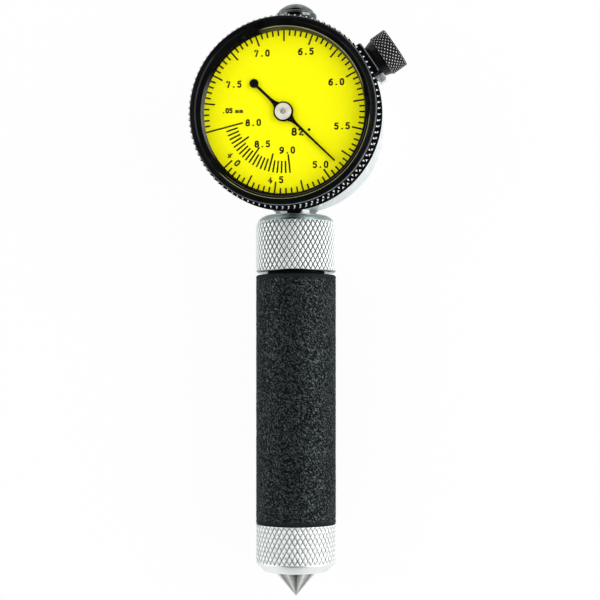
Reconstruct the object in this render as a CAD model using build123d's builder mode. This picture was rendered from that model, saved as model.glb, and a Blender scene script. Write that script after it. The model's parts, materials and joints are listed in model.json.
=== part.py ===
"""Countersink gauge: a dial head clamped by its stem in a barrel, with an 82 degree cone at the tip.

The origin is the centre of the anvil's face. The plunger runs along Y, the cone points to -Y,
and the dial faces +Z. The gauge lies on its flat back, as it does on a bench.
"""

import os
from math import asin, atan2, cos, degrees, pi, radians, sin, sqrt, tan

from build123d import *

os.makedirs("parts", exist_ok=True)

# The measuring cone, and what the dial reads with the plunger out
cone_angle = 82.0
reading = 9.48
cone_d = 10.0
cone_land = 2.0
scale_low = 4.0
scale_start = 222.0
travel = 6.25
travel_per_turn = 2.5

# Clearances
sliding_gap = 0.04
running_gap = 0.04
fixed_gap = 0.01
thread_gap = 0.05
nose_gap = 0.1
bezel_gap = 0.06
seat_gap = 0.02
rim_gap = 0.25

# Barrel and its two end pieces, along Y
body_d = 18.6
anvil_len = 10.9
anvil_floor = 3.0
anvil_chamfer = 2.0
barrel_top = 68.6
barrel_corner = 0.65
neck_d = 13.3
neck_top = 77.0
neck_step = 0.1
collar_gap = 0.6
collar_len = 13.5
collar_shoulder = 3.0
collar_lip = 1.1
collar_hole_r = 5.1
collar_corner = 0.45
collet_wide_r = 6.2
collet_narrow_r = 5.4
collet_slit = 0.8

# Plunger
rod_d = 6.0
rod_top = 40.0
flange_d = 8.6
flange_len = 2.0
stub_d = 2.5
stub_len = 5.0
stub_end_gap = 0.1
shank_d = 4.0
shank_len = 6.0
spindle_d = 4.76
spindle_rise = 0.6
bush_low = 11.0
bush_len = 10.0
spring_wire = 0.7
spring_mean_r = 3.45
spring_turns = 6

# Dial head: its centre stands dial_y from the anvil's face
stem_show = 0.8
stem_d = 9.525
stem_in_barrel = 15.0
stem_bore_step = 2.0
case_r = 19.5
case_wall = 1.9
back_plate = 1.5
spigot_step = 0.5
spigot_wall = 0.8
spigot_low_z = 9.5
spigot_len = 3.5
groove_depth = 0.42
groove_width = 0.8
groove_up = 1.0
stem_boss_wall = 1.44
stem_boss_out = 0.7
stem_boss_cone = 1.1
top_boss_wall = 0.8
top_boss_out = 0.2
edge_chamfer = 0.4
screw_count = 4
screw_boss_in = 1.1
screw_boss_r = 1.6
screw_r = 0.6
screw_depth = 4.6
screw_end_gap = 0.5
screw_slot = 0.3
sink_r = 1.32
sink_gap = 0.1
pan_head_r = 1.2
pan_head_t = 0.7

# Cap over the spindle's upper end
cap_r = 4.8
cap_neck_r = 3.6
cap_neck_len = 4.6
cap_side = 0.9
cap_dome = 2.7
cap_corner = 0.4
spindle_over = 0.5
bush_drop = 1.2

# Bezel, crystal and dial
bezel_lift = 0.25
band_rise = 1.2
band_len = 6.6
band_step = 0.2
band_depth = 0.6
band_chamfer = 0.4
band_teeth = 100
band_land = 0.42
bezel_wall = 1.59
bezel_top_z = 19.5
bezel_corner = 0.3
bezel_bevel = 1.1
lip_over = 0.86
lip_t = 0.8
crystal_t = 1.0
dial_z = 16.5
dial_t = 0.6
ring_wall = 0.6
retainer_wall = 1.8
retainer_t = 0.7
dial_hole_r = 2.0
ring_split = 6.0
ring_gap = 0.1

# Movement plates and posts, with places counted from the dial's centre
plate_gap = 0.1
lower_z = -4.6
lower_t = 1.2
rear_z = 3.2
rear_t = 1.0
front_z = 11.6
front_t = 1.2
post_r = 1.4
post_pin_r = 0.7
post_edge = 0.25
post_angles = (160.0, 69.6, -33.2)
guide_pin_d = 1.5
guide_pin_up = 3.0
guide_pin_end = 0.6
guide_stop = 0.05
guide_run = 0.35

# Gears
pinion_teeth = 12
wheel_teeth = 48
wheel_module = 0.27
wheel_z = 7.4
wheel_t = 0.8
wheel_hole_r = 1.3
wheel_hole_ring = 4.0
wheel_holes = 5
pinion_over = 0.6
pinion_clear = 0.3
rack_line = 1.75
rack_margin = 2.4
rack_flank = 20.0
arbor_r = 0.6
pivot_r = 0.5
pivot_end_gap = 0.2
centre_bush_r = 1.6
centre_bush_over = 0.6
tooth_root = 1.25
tooth_tip = 0.9
tooth_share = 0.4
tooth_widths = (0.62, 0.5, 0.24)
hub_r = 1.7
hub_t = 0.9
takeup_angle = 30.4
hair_inner_r = 1.95
hair_outer_r = 4.3
hair_turns = 4
hair_t = 0.12
hair_w = 0.5
hair_z = 9.9
hair_points = 14
hair_hub_gap = 0.35
hair_hub_over = 0.2
stud_r = 0.5

# Pointer
pointer_len = 15.9
pointer_tail = 9.2
pointer_ball_r = 0.92
pointer_root_w = 0.85
pointer_tip_w = 0.28
pointer_tail_w = 0.62
pointer_t = 0.25
pointer_gap = 0.35
pointer_boss_r = 2.2
pointer_boss_t = 0.45
hub_cap_r = 1.85
hub_cap_t = 0.35
hub_ring_r = 0.75
hub_ring_w = 0.15
hub_ring_depth = 0.1

# Bezel clamp: a thumb screw that stands out radially
clamp_angle = 34.0
clamp_z = 5.4
clip_w = 6.5
clip_over = 1.15
clip_low_z = 1.4
clip_corner = 0.6
clamp_head_r = 4.75
clamp_head_t = 4.0
clamp_cone_t = 2.0
clamp_cone_r = 3.8
clamp_head_chamfer = 0.4
clamp_shank_r = 0.9
clamp_end_gap = 0.3
shoe_w = 1.6
shoe_t = 1.4
shoe_inset = 0.05
shoe_low_z = 5.0
shoe_top_z = 7.2
shoe_corner = 0.3

# Worked out from the sizes above
half_cone = radians(cone_angle / 2)
tip_reach = reading / 2 / tan(half_cone)
cone_top = cone_d / 2 / tan(half_cone) - tip_reach
land_top = cone_top + cone_land
body_r = body_d / 2
bore_r = cone_d / 2 + nose_gap
neck_r = neck_d / 2
collar_low = barrel_top + collar_gap
collar_top = collar_low + collar_len
taper_low = neck_top + neck_step
taper_top = collar_top - collar_lip - neck_step
stem_r = stem_d / 2
stem_low = neck_top - stem_in_barrel
spindle_r = spindle_d / 2
dial_y = collar_top + stem_show + stem_boss_out + case_r
back_z = -body_r
case_low_z = back_z + back_plate
cavity_r = case_r - case_wall
spigot_r = case_r - spigot_step
spigot_top_z = spigot_low_z + spigot_len
groove_z = spigot_low_z + groove_up
front_r = spigot_r - spigot_wall
screw_circle_r = cavity_r - screw_boss_in
plate_r = screw_circle_r - screw_boss_r - plate_gap
post_circle_r = plate_r - post_r - post_edge
post_places = [(post_circle_r * cos(radians(a)), post_circle_r * sin(radians(a))) for a in post_angles]
stem_boss_r = stem_r + stem_boss_wall
stem_top = dial_y - plate_r - plate_gap
top_boss_r = cap_neck_r + top_boss_wall
cap_low = dial_y + case_r + top_boss_out
spindle_top = cap_low + spindle_rise
cap_bore_top = spindle_top + travel + spindle_over
top_boss_low = dial_y + plate_r + plate_gap
bezel_bore_r = spigot_r + bezel_gap
glazing_r = bezel_bore_r - bezel_gap
flange_r = bezel_bore_r + bezel_wall
band_root_r = flange_r + band_step
band_tip_r = band_root_r + band_depth
bezel_low_z = spigot_low_z + bezel_lift
band_low_z = bezel_low_z + band_rise
band_top_z = band_low_z + band_len
opening_r = bezel_bore_r - lip_over
ring_inner_r = glazing_r - ring_wall
retainer_inner_r = glazing_r - retainer_wall
lip_z = bezel_top_z - lip_t
crystal_low_z = lip_z - crystal_t
clip_out_r = band_tip_r + clip_over
clip_top_z = bezel_low_z - rim_gap
clamp_end_r = cavity_r + clamp_end_gap
degrees_per_mm = 360 / travel_per_turn / 2 / tan(half_cone)
pointer_angle = scale_start + (reading - scale_low) * degrees_per_mm - 360
rack_pitch = travel_per_turn * wheel_teeth / pinion_teeth / pinion_teeth
rack_module = rack_pitch / pi
rack_pinion_r = rack_pitch * pinion_teeth / 2 / pi
arbor_x = -(rack_line + rack_pinion_r)
mesh_distance = wheel_module * (wheel_teeth + pinion_teeth) / 2
arbor_y = -sqrt(mesh_distance**2 - arbor_x**2)
takeup_x = mesh_distance * cos(radians(takeup_angle))
takeup_y = mesh_distance * sin(radians(takeup_angle))
mesh_angle = degrees(atan2(-arbor_y, -arbor_x))
pinion_phase = mesh_angle + 180 + 180 / pinion_teeth
pinion_offset = (pinion_phase - takeup_angle) % (360 / pinion_teeth)
takeup_gap = takeup_angle + 180 - pinion_offset * pinion_teeth / wheel_teeth
pointer_z = dial_z + pointer_gap

head_plane = Plane(origin=(0, dial_y, 0), x_dir=(1, 0, 0), z_dir=(0, -1, 0))
head_axis = Axis((0, dial_y, 0), (0, 0, 1))
clamp_dir = (cos(radians(clamp_angle)), sin(radians(clamp_angle)), 0)
clamp_plane = Plane(origin=(0, dial_y, clamp_z), x_dir=clamp_dir, z_dir=(clamp_dir[1], -clamp_dir[0], 0))
clamp_axis = Axis((0, dial_y, clamp_z), clamp_dir)


def level(z, x=0.0, y=0.0, turn=0.0):
    """A plane parallel to the dial at height z, centred x, y from the dial's centre."""
    return Plane(origin=(x, dial_y + y, z), x_dir=(cos(radians(turn)), sin(radians(turn)), 0))


def tooth_points(teeth, module, share, phase):
    """The outline of a gear: each tooth is narrow at its tip, wider at its root, centred on phase."""
    pitch_r = module * teeth / 2
    pitch_deg = 360 / teeth
    radii = (pitch_r - tooth_root * module, pitch_r, pitch_r + tooth_tip * module)
    flank = [(r, 2 * width * share) for r, width in zip(radii, tooth_widths)]
    points = []
    for tooth in range(teeth):
        middle = phase + tooth * pitch_deg
        left = [(r, middle - width * pitch_deg / 2) for r, width in flank]
        right = [(r, middle + width * pitch_deg / 2) for r, width in reversed(flank)]
        points += [(r * cos(radians(a)), r * sin(radians(a))) for r, a in left + right]
    return points


# The hardened cone that enters the hole, with a shank that screws into the rod
with BuildPart() as contact_point:
    with BuildSketch(Plane.XY):
        with BuildLine():
            Polyline(
                (0, -tip_reach),
                (cone_d / 2, cone_top),
                (cone_d / 2, land_top),
                (shank_d / 2, land_top),
                (shank_d / 2, land_top + shank_len),
                (0, land_top + shank_len),
                close=True,
            )
        make_face()
    revolve(axis=Axis.Y)
contact_point.part.label = "contact_point"
export_step(contact_point.part, "parts/contact_point.step")

# The rod in the barrel: a threaded hole below, a flange for the spring and a stub for the spindle
with BuildPart() as plunger_rod:
    with BuildSketch(Plane.XY):
        with BuildLine():
            Polyline(
                (shank_d / 2 + fixed_gap, land_top),
                (rod_d / 2, land_top),
                (rod_d / 2, rod_top - flange_len),
                (flange_d / 2, rod_top - flange_len),
                (flange_d / 2, rod_top),
                (stub_d / 2, rod_top),
                (stub_d / 2, rod_top + stub_len),
                (0, rod_top + stub_len),
                (0, land_top + shank_len),
                (shank_d / 2 + fixed_gap, land_top + shank_len),
                close=True,
            )
        make_face()
    revolve(axis=Axis.Y)
plunger_rod.part.label = "plunger_rod"
export_step(plunger_rod.part, "parts/plunger_rod.step")

# The dial head's spindle, with rack teeth on the side of the first pinion
rack_low = dial_y + arbor_y - travel - rack_margin
rack_high = dial_y + arbor_y + rack_margin
rack_tip_x = rack_line + tooth_tip * rack_module
rack_root_x = rack_line - tooth_root * rack_module
gap_mid = rack_pitch * (1 - tooth_share) / 2
gap_slope = tan(radians(rack_flank))
gaps_below = int((travel + rack_margin) / rack_pitch)
gaps_above = int(rack_margin / rack_pitch)
with BuildPart() as rack_spindle:
    with BuildSketch(Plane.XY):
        with BuildLine():
            Polyline(
                (stub_d / 2 + fixed_gap, rod_top),
                (spindle_r, rod_top),
                (spindle_r, spindle_top - edge_chamfer),
                (spindle_r - edge_chamfer, spindle_top),
                (0, spindle_top),
                (0, rod_top + stub_len + stub_end_gap),
                (stub_d / 2 + fixed_gap, rod_top + stub_len + stub_end_gap),
                close=True,
            )
        make_face()
    revolve(axis=Axis.Y)
    with BuildSketch(Plane.XY):
        with Locations((-(rack_tip_x + spindle_r) / 2 - fixed_gap, (rack_low + rack_high) / 2)):
            Rectangle(spindle_r - rack_tip_x + 2 * fixed_gap, rack_high - rack_low)
        for step in range(-gaps_below, gaps_above + 1):
            with BuildLine(Plane((0, dial_y + arbor_y + step * rack_pitch, 0))):
                Polyline(
                    (-rack_tip_x - fixed_gap, -gap_mid - (rack_tip_x - rack_line) * gap_slope),
                    (-rack_root_x, -gap_mid + (rack_line - rack_root_x) * gap_slope),
                    (-rack_root_x, gap_mid - (rack_line - rack_root_x) * gap_slope),
                    (-rack_tip_x - fixed_gap, gap_mid + (rack_tip_x - rack_line) * gap_slope),
                    close=True,
                )
            make_face()
    extrude(amount=spindle_r, both=True, mode=Mode.SUBTRACT)
    with BuildSketch(level(-spindle_r, y=guide_pin_up)):
        Circle(guide_pin_d / 2 + fixed_gap)
    extrude(amount=spindle_r - guide_pin_end, mode=Mode.SUBTRACT)
rack_spindle.part.label = "rack_spindle"
export_step(rack_spindle.part, "parts/rack_spindle.step")

# The pin that keeps the spindle from turning
with BuildPart() as guide_pin:
    with BuildSketch(level(lower_z + pivot_end_gap, y=guide_pin_up)):
        Circle(guide_pin_d / 2)
    extrude(amount=-lower_z - pivot_end_gap - guide_pin_end)
guide_pin.part.label = "guide_pin"
export_step(guide_pin.part, "parts/guide_pin.step")

# The return spring, between the rod's flange and the stem's lower end
spring_low = rod_top + spring_wire / 2
spring_len = stem_low - rod_top - spring_wire
with BuildPart() as return_spring:
    with BuildLine():
        spring_path = Helix(
            pitch=spring_len / spring_turns,
            height=spring_len,
            radius=spring_mean_r,
            center=(0, spring_low, 0),
            direction=(0, 1, 0),
        )
    with BuildSketch(Plane(origin=spring_path @ 0, z_dir=spring_path % 0)):
        RegularPolygon(radius=spring_wire / 2, side_count=8)
    sweep(is_frenet=True)
return_spring.part.label = "return_spring"
export_step(return_spring.part, "parts/return_spring.step")

# The anvil, whose face rests on the work around the hole
with BuildPart() as anvil:
    with BuildSketch(Plane.XY):
        with BuildLine():
            Polyline(
                (bore_r, 0),
                (body_r - anvil_chamfer, 0),
                (body_r, anvil_chamfer),
                (body_r, anvil_len),
                (neck_r + fixed_gap, anvil_len),
                (neck_r + fixed_gap, anvil_floor),
                (bore_r, anvil_floor),
                close=True,
            )
        make_face()
    revolve(axis=Axis.Y)
anvil.part.label = "anvil"
export_step(anvil.part, "parts/anvil.step")

# The barrel: one turned piece with a screwed spigot at each end
with BuildPart() as barrel:
    with BuildSketch(Plane.XY):
        with BuildLine():
            Polyline(
                (bore_r, anvil_floor + neck_step),
                (neck_r, anvil_floor + neck_step),
                (neck_r, anvil_len),
                (body_r, anvil_len),
                (body_r, barrel_top),
                (neck_r, barrel_top),
                (neck_r, neck_top),
                (stem_r + sliding_gap, neck_top),
                (stem_r + sliding_gap, stem_low - stem_bore_step),
                (bore_r, stem_low - stem_bore_step),
                close=True,
            )
        make_face()
    revolve(axis=Axis.Y)
    rims = barrel.edges().filter_by(GeomType.CIRCLE).group_by(SortBy.RADIUS)[-1]
    fillet(rims, radius=barrel_corner)
barrel.part.label = "barrel"
export_step(barrel.part, "parts/barrel.step")

# The bronze bush that guides the rod
with BuildPart() as rod_bush:
    with BuildSketch(Plane.XZ.offset(-bush_low)):
        Circle(bore_r)
        Circle(rod_d / 2 + running_gap, mode=Mode.SUBTRACT)
    extrude(amount=-bush_len)
rod_bush.part.label = "rod_bush"
export_step(rod_bush.part, "parts/rod_bush.step")

# The split collet that the collar closes on the stem
with BuildPart() as collet:
    with BuildSketch(Plane.XY):
        with BuildLine():
            Polyline(
                (stem_r + sliding_gap, taper_low),
                (collet_wide_r, taper_low),
                (collet_narrow_r, taper_top),
                (stem_r + sliding_gap, taper_top),
                close=True,
            )
        make_face()
    revolve(axis=Axis.Y)
    with BuildSketch(Plane.XY):
        with Locations((body_r / 2, (taper_low + taper_top) / 2)):
            Rectangle(body_r, 2 * collar_len)
    extrude(amount=collet_slit / 2, both=True, mode=Mode.SUBTRACT)
collet.part.label = "collet"
export_step(collet.part, "parts/collet.step")

# The knurled collar, with a rounded shoulder and a taper inside that meets the collet
shoulder_r = body_r - collar_shoulder
with BuildPart() as clamp_collar:
    with BuildSketch(Plane.XY):
        with BuildLine():
            Polyline(
                (shoulder_r, collar_top),
                (collar_hole_r, collar_top),
                (collar_hole_r, collar_top - collar_lip),
                (collet_narrow_r + thread_gap, collar_top - collar_lip),
                (collet_wide_r + thread_gap, taper_low),
                (collet_wide_r + thread_gap, taper_low - neck_step / 2),
                (neck_r + thread_gap, taper_low - neck_step / 2),
                (neck_r + thread_gap, collar_low),
                (body_r - collar_corner, collar_low),
                (body_r, collar_low + collar_corner),
                (body_r, collar_top - collar_shoulder),
            )
            CenterArc((shoulder_r, collar_top - collar_shoulder), collar_shoulder, 0, 90)
        make_face()
    revolve(axis=Axis.Y)
clamp_collar.part.label = "clamp_collar"
export_step(clamp_collar.part, "parts/clamp_collar.step")

# The stem, which is the spindle's long bearing
with BuildPart() as stem:
    with BuildSketch(Plane.XZ.offset(-stem_low)):
        Circle(stem_r)
        Circle(spindle_r + sliding_gap, mode=Mode.SUBTRACT)
    extrude(amount=-(stem_top - stem_low))
    chamfer(stem.edges().group_by(Axis.Y)[0].sort_by(SortBy.RADIUS)[-1], length=edge_chamfer)
stem.part.label = "stem"
export_step(stem.part, "parts/stem.step")

# The case: a turned ring with a boss for the stem, one for the cap and four for screws
with BuildPart() as case:
    with BuildSketch(head_plane):
        with BuildLine():
            Polyline(
                (cavity_r, case_low_z),
                (case_r, case_low_z),
                (case_r, spigot_low_z),
                (spigot_r, spigot_low_z),
                (spigot_r, groove_z - groove_width / 2),
                (spigot_r - groove_depth, groove_z - groove_width / 2),
                (spigot_r - groove_depth, groove_z + groove_width / 2),
                (spigot_r, groove_z + groove_width / 2),
                (spigot_r, spigot_top_z),
                (front_r + fixed_gap, spigot_top_z),
                (front_r + fixed_gap, front_z),
                (cavity_r, front_z),
                close=True,
            )
        make_face()
    revolve(axis=head_axis)
    with BuildSketch(level(case_low_z)):
        with PolarLocations(screw_circle_r, screw_count, start_angle=45):
            Circle(screw_boss_r)
    extrude(amount=front_z - case_low_z)
    with BuildSketch(Plane.XY):
        with BuildLine():
            Polyline(
                (0, stem_top),
                (stem_boss_r, stem_top),
                (stem_boss_r, dial_y - case_r - stem_boss_out + stem_boss_cone),
                (stem_r + stem_boss_out / 2, dial_y - case_r - stem_boss_out),
                (0, dial_y - case_r - stem_boss_out),
                close=True,
            )
        make_face()
        with Locations((top_boss_r / 2, (cap_low + top_boss_low) / 2)):
            Rectangle(top_boss_r, cap_low - top_boss_low)
    revolve(axis=Axis.Y)
    with BuildSketch(Plane.XY):
        with Locations(((stem_r + fixed_gap) / 2, stem_top)):
            Rectangle(stem_r + fixed_gap, 2 * case_r)
        with Locations(((cap_neck_r + fixed_gap) / 2, cap_low)):
            Rectangle(cap_neck_r + fixed_gap, case_r)
    revolve(axis=Axis.Y, mode=Mode.SUBTRACT)
    with BuildSketch(level(case_low_z)):
        with PolarLocations(screw_circle_r, screw_count, start_angle=45):
            Circle(screw_r + fixed_gap)
    extrude(amount=screw_depth, mode=Mode.SUBTRACT)
    with BuildSketch(level(front_z)):
        with PolarLocations(screw_circle_r, screw_count, start_angle=45):
            Circle(screw_r + fixed_gap)
    extrude(amount=-screw_depth, mode=Mode.SUBTRACT)
    with BuildSketch(Plane(origin=(0, dial_y, clamp_z), z_dir=clamp_dir)):
        Circle(clamp_shank_r + thread_gap)
    extrude(amount=case_r + case_wall, mode=Mode.SUBTRACT)
case.part.label = "case"
export_step(case.part, "parts/case.step")

# The flat back cover that the gauge lies on
with BuildPart() as case_back:
    with BuildSketch(level(back_z)):
        Circle(case_r)
    extrude(amount=back_plate)
    chamfer(case_back.edges().group_by(Axis.Z)[0], length=edge_chamfer)
    with Locations(level(back_z)):
        with PolarLocations(screw_circle_r, screw_count, start_angle=45):
            with Locations(Location((0, 0, 0), (180, 0, 0))):
                CounterSinkHole(
                    radius=screw_r + running_gap,
                    counter_sink_radius=sink_r,
                    depth=back_plate,
                    counter_sink_angle=90,
                )
case_back.part.label = "case_back"
export_step(case_back.part, "parts/case_back.step")

# Four countersunk screws, a little below the back cover's face
head_r = sink_r - sink_gap
screw_len = back_plate - sink_gap + screw_depth - screw_end_gap
with BuildPart(level(back_z + sink_gap)) as back_screws:
    with PolarLocations(screw_circle_r, screw_count, start_angle=45):
        Cone(head_r, screw_r, head_r - screw_r, align=(Align.CENTER, Align.CENTER, Align.MIN))
        Cylinder(screw_r, screw_len, align=(Align.CENTER, Align.CENTER, Align.MIN))
        Box(3 * head_r, screw_slot, 2 * screw_slot, mode=Mode.SUBTRACT)
back_screws.part.label = "back_screws"
export_step(back_screws.part, "parts/back_screws.step")

# The bush that guides the spindle's upper end
with BuildPart() as upper_bush:
    with BuildSketch(Plane.XZ.offset(-top_boss_low)):
        Circle(cap_neck_r)
        Circle(spindle_r + running_gap, mode=Mode.SUBTRACT)
    extrude(amount=-(cap_low - bush_drop - top_boss_low))
upper_bush.part.label = "upper_bush"
export_step(upper_bush.part, "parts/upper_bush.step")

# The domed cap that closes the spindle's way out
cap_shoulder = cap_low + cap_neck_len
cap_top = cap_shoulder + cap_side + cap_dome
dome_r = (cap_r**2 + cap_dome**2) / (2 * cap_dome)
dome_angle = degrees(asin(cap_r / dome_r))
with BuildPart() as stem_cap:
    with BuildSketch(Plane.XY):
        with BuildLine():
            Polyline(
                (0, cap_bore_top),
                (spindle_r + sliding_gap, cap_bore_top),
                (spindle_r + sliding_gap, cap_low - bush_drop),
                (cap_neck_r, cap_low - bush_drop),
                (cap_neck_r, cap_shoulder),
                (cap_r - cap_corner, cap_shoulder),
                (cap_r, cap_shoulder + cap_corner),
                (cap_r, cap_shoulder + cap_side),
            )
            CenterArc((0, cap_top - dome_r), dome_r, 90 - dome_angle, dome_angle)
            Line((0, cap_top), (0, cap_bore_top))
        make_face()
    revolve(axis=Axis.Y)
stem_cap.part.label = "stem_cap"
export_step(stem_cap.part, "parts/stem_cap.step")

# The bezel's toothed band, with both ends of each tooth chamfered
with BuildPart() as bezel_band:
    with BuildSketch(level(band_low_z)):
        with BuildLine():
            band_points = []
            for tooth in range(band_teeth):
                middle = 360 / band_teeth * tooth
                for radius, turn in ((band_tip_r, -0.5), (band_tip_r, 0.5)):
                    a = radians(middle + turn * band_land * 360 / band_teeth)
                    band_points.append((radius * cos(a), radius * sin(a)))
                a = radians(middle + 180 / band_teeth)
                band_points.append((band_root_r * cos(a), band_root_r * sin(a)))
            Polyline(*band_points, close=True)
        make_face()
        Circle(flange_r - bezel_wall / 2, mode=Mode.SUBTRACT)
    extrude(amount=band_len)
    with BuildSketch(head_plane):
        with BuildLine():
            Polyline(
                (bezel_bore_r, band_low_z),
                (band_tip_r - band_chamfer, band_low_z),
                (band_tip_r, band_low_z + band_chamfer),
                (band_tip_r, band_top_z - band_chamfer),
                (band_tip_r - band_chamfer, band_top_z),
                (bezel_bore_r, band_top_z),
                close=True,
            )
        make_face()
    revolve(axis=head_axis, mode=Mode.INTERSECT)

# The bezel: a turned ring that holds the crystal and the dial and turns on the case's spigot
with BuildPart() as bezel:
    with BuildSketch(head_plane):
        with BuildLine():
            Polyline(
                (bezel_bore_r, bezel_low_z),
                (flange_r, bezel_low_z),
                (flange_r, bezel_top_z - bezel_corner),
                (flange_r - bezel_corner, bezel_top_z),
                (opening_r + bezel_bevel, bezel_top_z),
                (opening_r, bezel_top_z - bezel_bevel / 2),
                (opening_r, lip_z),
                (bezel_bore_r, lip_z),
                (bezel_bore_r, groove_z + groove_width / 2),
                (bezel_bore_r + groove_depth, groove_z + groove_width / 2),
                (bezel_bore_r + groove_depth, groove_z - groove_width / 2),
                (bezel_bore_r, groove_z - groove_width / 2),
                close=True,
            )
        make_face()
    revolve(axis=head_axis)
    add(bezel_band.part)
bezel.part.label = "bezel"
export_step(bezel.part, "parts/bezel.step")

# The split spring ring that keeps the bezel on the case
ring_half = (groove_width - ring_gap) / 2
with BuildPart() as bezel_spring:
    with BuildSketch(level(groove_z - ring_half)):
        Circle(bezel_bore_r + groove_depth - ring_gap)
        Circle(spigot_r - groove_depth + seat_gap, mode=Mode.SUBTRACT)
        with Locations((-case_r, 0)):
            Rectangle(case_r, ring_split, mode=Mode.SUBTRACT)
    extrude(amount=2 * ring_half)
bezel_spring.part.label = "bezel_spring"
export_step(bezel_spring.part, "parts/bezel_spring.step")

# The crystal, a flat clear disc
with BuildPart() as crystal:
    with BuildSketch(level(crystal_low_z)):
        Circle(glazing_r)
    extrude(amount=crystal_t)
crystal.part.label = "crystal"
export_step(crystal.part, "parts/crystal.step")

# The spacer between crystal and dial
with BuildPart() as crystal_ring:
    with BuildSketch(level(dial_z)):
        Circle(glazing_r)
        Circle(ring_inner_r, mode=Mode.SUBTRACT)
    extrude(amount=crystal_low_z - dial_z)
crystal_ring.part.label = "crystal_ring"
export_step(crystal_ring.part, "parts/crystal_ring.step")

# The dial plate
with BuildPart() as dial_plate:
    with BuildSketch(level(dial_z - dial_t)):
        Circle(glazing_r)
        Circle(dial_hole_r, mode=Mode.SUBTRACT)
    extrude(amount=dial_t)
dial_plate.part.label = "dial_plate"
export_step(dial_plate.part, "parts/dial_plate.step")

# The ring behind the dial plate that holds the whole stack in the bezel
with BuildPart() as dial_retainer:
    with BuildSketch(level(dial_z - dial_t - retainer_t)):
        Circle(glazing_r)
        Circle(retainer_inner_r, mode=Mode.SUBTRACT)
    extrude(amount=retainer_t)
dial_retainer.part.label = "dial_retainer"
export_step(dial_retainer.part, "parts/dial_retainer.step")

# The lower bridge, behind the spindle: it has the slot for the guide pin
with BuildPart() as lower_bridge:
    slot_low = guide_pin_up - guide_pin_d / 2 - guide_stop
    slot_high = guide_pin_up + guide_pin_d / 2 + travel + guide_run
    with BuildSketch(level(lower_z)):
        Circle(plate_r)
        with Locations(*post_places):
            Circle(post_pin_r + fixed_gap, mode=Mode.SUBTRACT)
        with Locations((arbor_x, arbor_y)):
            Circle(pivot_r + running_gap, mode=Mode.SUBTRACT)
        with Locations((0, (slot_low + slot_high) / 2)):
            Rectangle(guide_pin_d + 2 * sliding_gap, slot_high - slot_low, mode=Mode.SUBTRACT)
    extrude(amount=lower_t)
lower_bridge.part.label = "lower_bridge"
export_step(lower_bridge.part, "parts/lower_bridge.step")

# The rear plate, in front of the spindle
with BuildPart() as rear_plate:
    with BuildSketch(level(rear_z)):
        Circle(plate_r)
        with Locations(*post_places):
            Circle(post_pin_r + fixed_gap, mode=Mode.SUBTRACT)
        with Locations((arbor_x, arbor_y)):
            Circle(rack_pinion_r + tooth_tip * rack_module + pinion_clear, mode=Mode.SUBTRACT)
        with Locations((0, 0), (takeup_x, takeup_y)):
            Circle(pivot_r + running_gap, mode=Mode.SUBTRACT)
    extrude(amount=rear_t)
rear_plate.part.label = "rear_plate"
export_step(rear_plate.part, "parts/rear_plate.step")

# The front plate, which seats on the case's ledge
with BuildPart() as front_plate:
    with BuildSketch(level(front_z)):
        Circle(front_r)
        with Locations(*post_places):
            Circle(post_pin_r + fixed_gap, mode=Mode.SUBTRACT)
        with Locations((arbor_x, arbor_y), (takeup_x, takeup_y)):
            Circle(pivot_r + running_gap, mode=Mode.SUBTRACT)
        with PolarLocations(screw_circle_r, screw_count, start_angle=45):
            Circle(screw_r + running_gap, mode=Mode.SUBTRACT)
        Circle(centre_bush_r + fixed_gap, mode=Mode.SUBTRACT)
    extrude(amount=front_t)
front_plate.part.label = "front_plate"
export_step(front_plate.part, "parts/front_plate.step")

# The stepped posts that hold the three plates apart
with BuildPart() as posts:
    for low, high, radius in (
        (lower_z, front_z + front_t, post_pin_r),
        (lower_z + lower_t, rear_z, post_r),
        (rear_z + rear_t, front_z, post_r),
    ):
        with BuildSketch(level(low)):
            with Locations(*post_places):
                Circle(radius)
        extrude(amount=high - low)
posts.part.label = "posts"
export_step(posts.part, "parts/posts.step")

# Four pan head screws that hold the front plate in the case
with BuildPart() as plate_screws:
    with BuildSketch(level(front_z + front_t)):
        with PolarLocations(screw_circle_r, screw_count, start_angle=45):
            Circle(pan_head_r)
    extrude(amount=pan_head_t)
    with BuildSketch(level(front_z + front_t + pan_head_t)):
        with PolarLocations(screw_circle_r, screw_count, start_angle=45):
            Rectangle(3 * pan_head_r, screw_slot)
    extrude(amount=-screw_slot, mode=Mode.SUBTRACT)
    with BuildSketch(level(front_z + front_t)):
        with PolarLocations(screw_circle_r, screw_count, start_angle=45):
            Circle(screw_r)
    extrude(amount=-(front_t + screw_depth - screw_end_gap))
plate_screws.part.label = "plate_screws"
export_step(plate_screws.part, "parts/plate_screws.step")

# The bush for the pointer's arbor
with BuildPart() as centre_bush:
    with BuildSketch(level(front_z)):
        Circle(centre_bush_r)
        Circle(arbor_r + running_gap, mode=Mode.SUBTRACT)
    extrude(amount=front_t + centre_bush_over)
centre_bush.part.label = "centre_bush"
export_step(centre_bush.part, "parts/centre_bush.step")

# The first arbor, whose pinion the rack turns
with BuildPart() as rack_arbor:
    with BuildSketch(level(-pinion_over - rack_pinion_r / 2, arbor_x, arbor_y)):
        with BuildLine():
            Polyline(*tooth_points(pinion_teeth, rack_module, tooth_share, 0), close=True)
        make_face()
    extrude(amount=2 * (pinion_over + rack_pinion_r / 2))
    with BuildSketch(level(lower_z + lower_t + seat_gap, arbor_x, arbor_y)):
        Circle(arbor_r)
    extrude(amount=front_z - lower_z - lower_t - 2 * seat_gap)
    with BuildSketch(level(lower_z + pivot_end_gap, arbor_x, arbor_y)):
        Circle(pivot_r)
    extrude(amount=front_z + front_t - lower_z - 2 * pivot_end_gap)
rack_arbor.part.label = "rack_arbor"
export_step(rack_arbor.part, "parts/rack_arbor.step")

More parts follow.
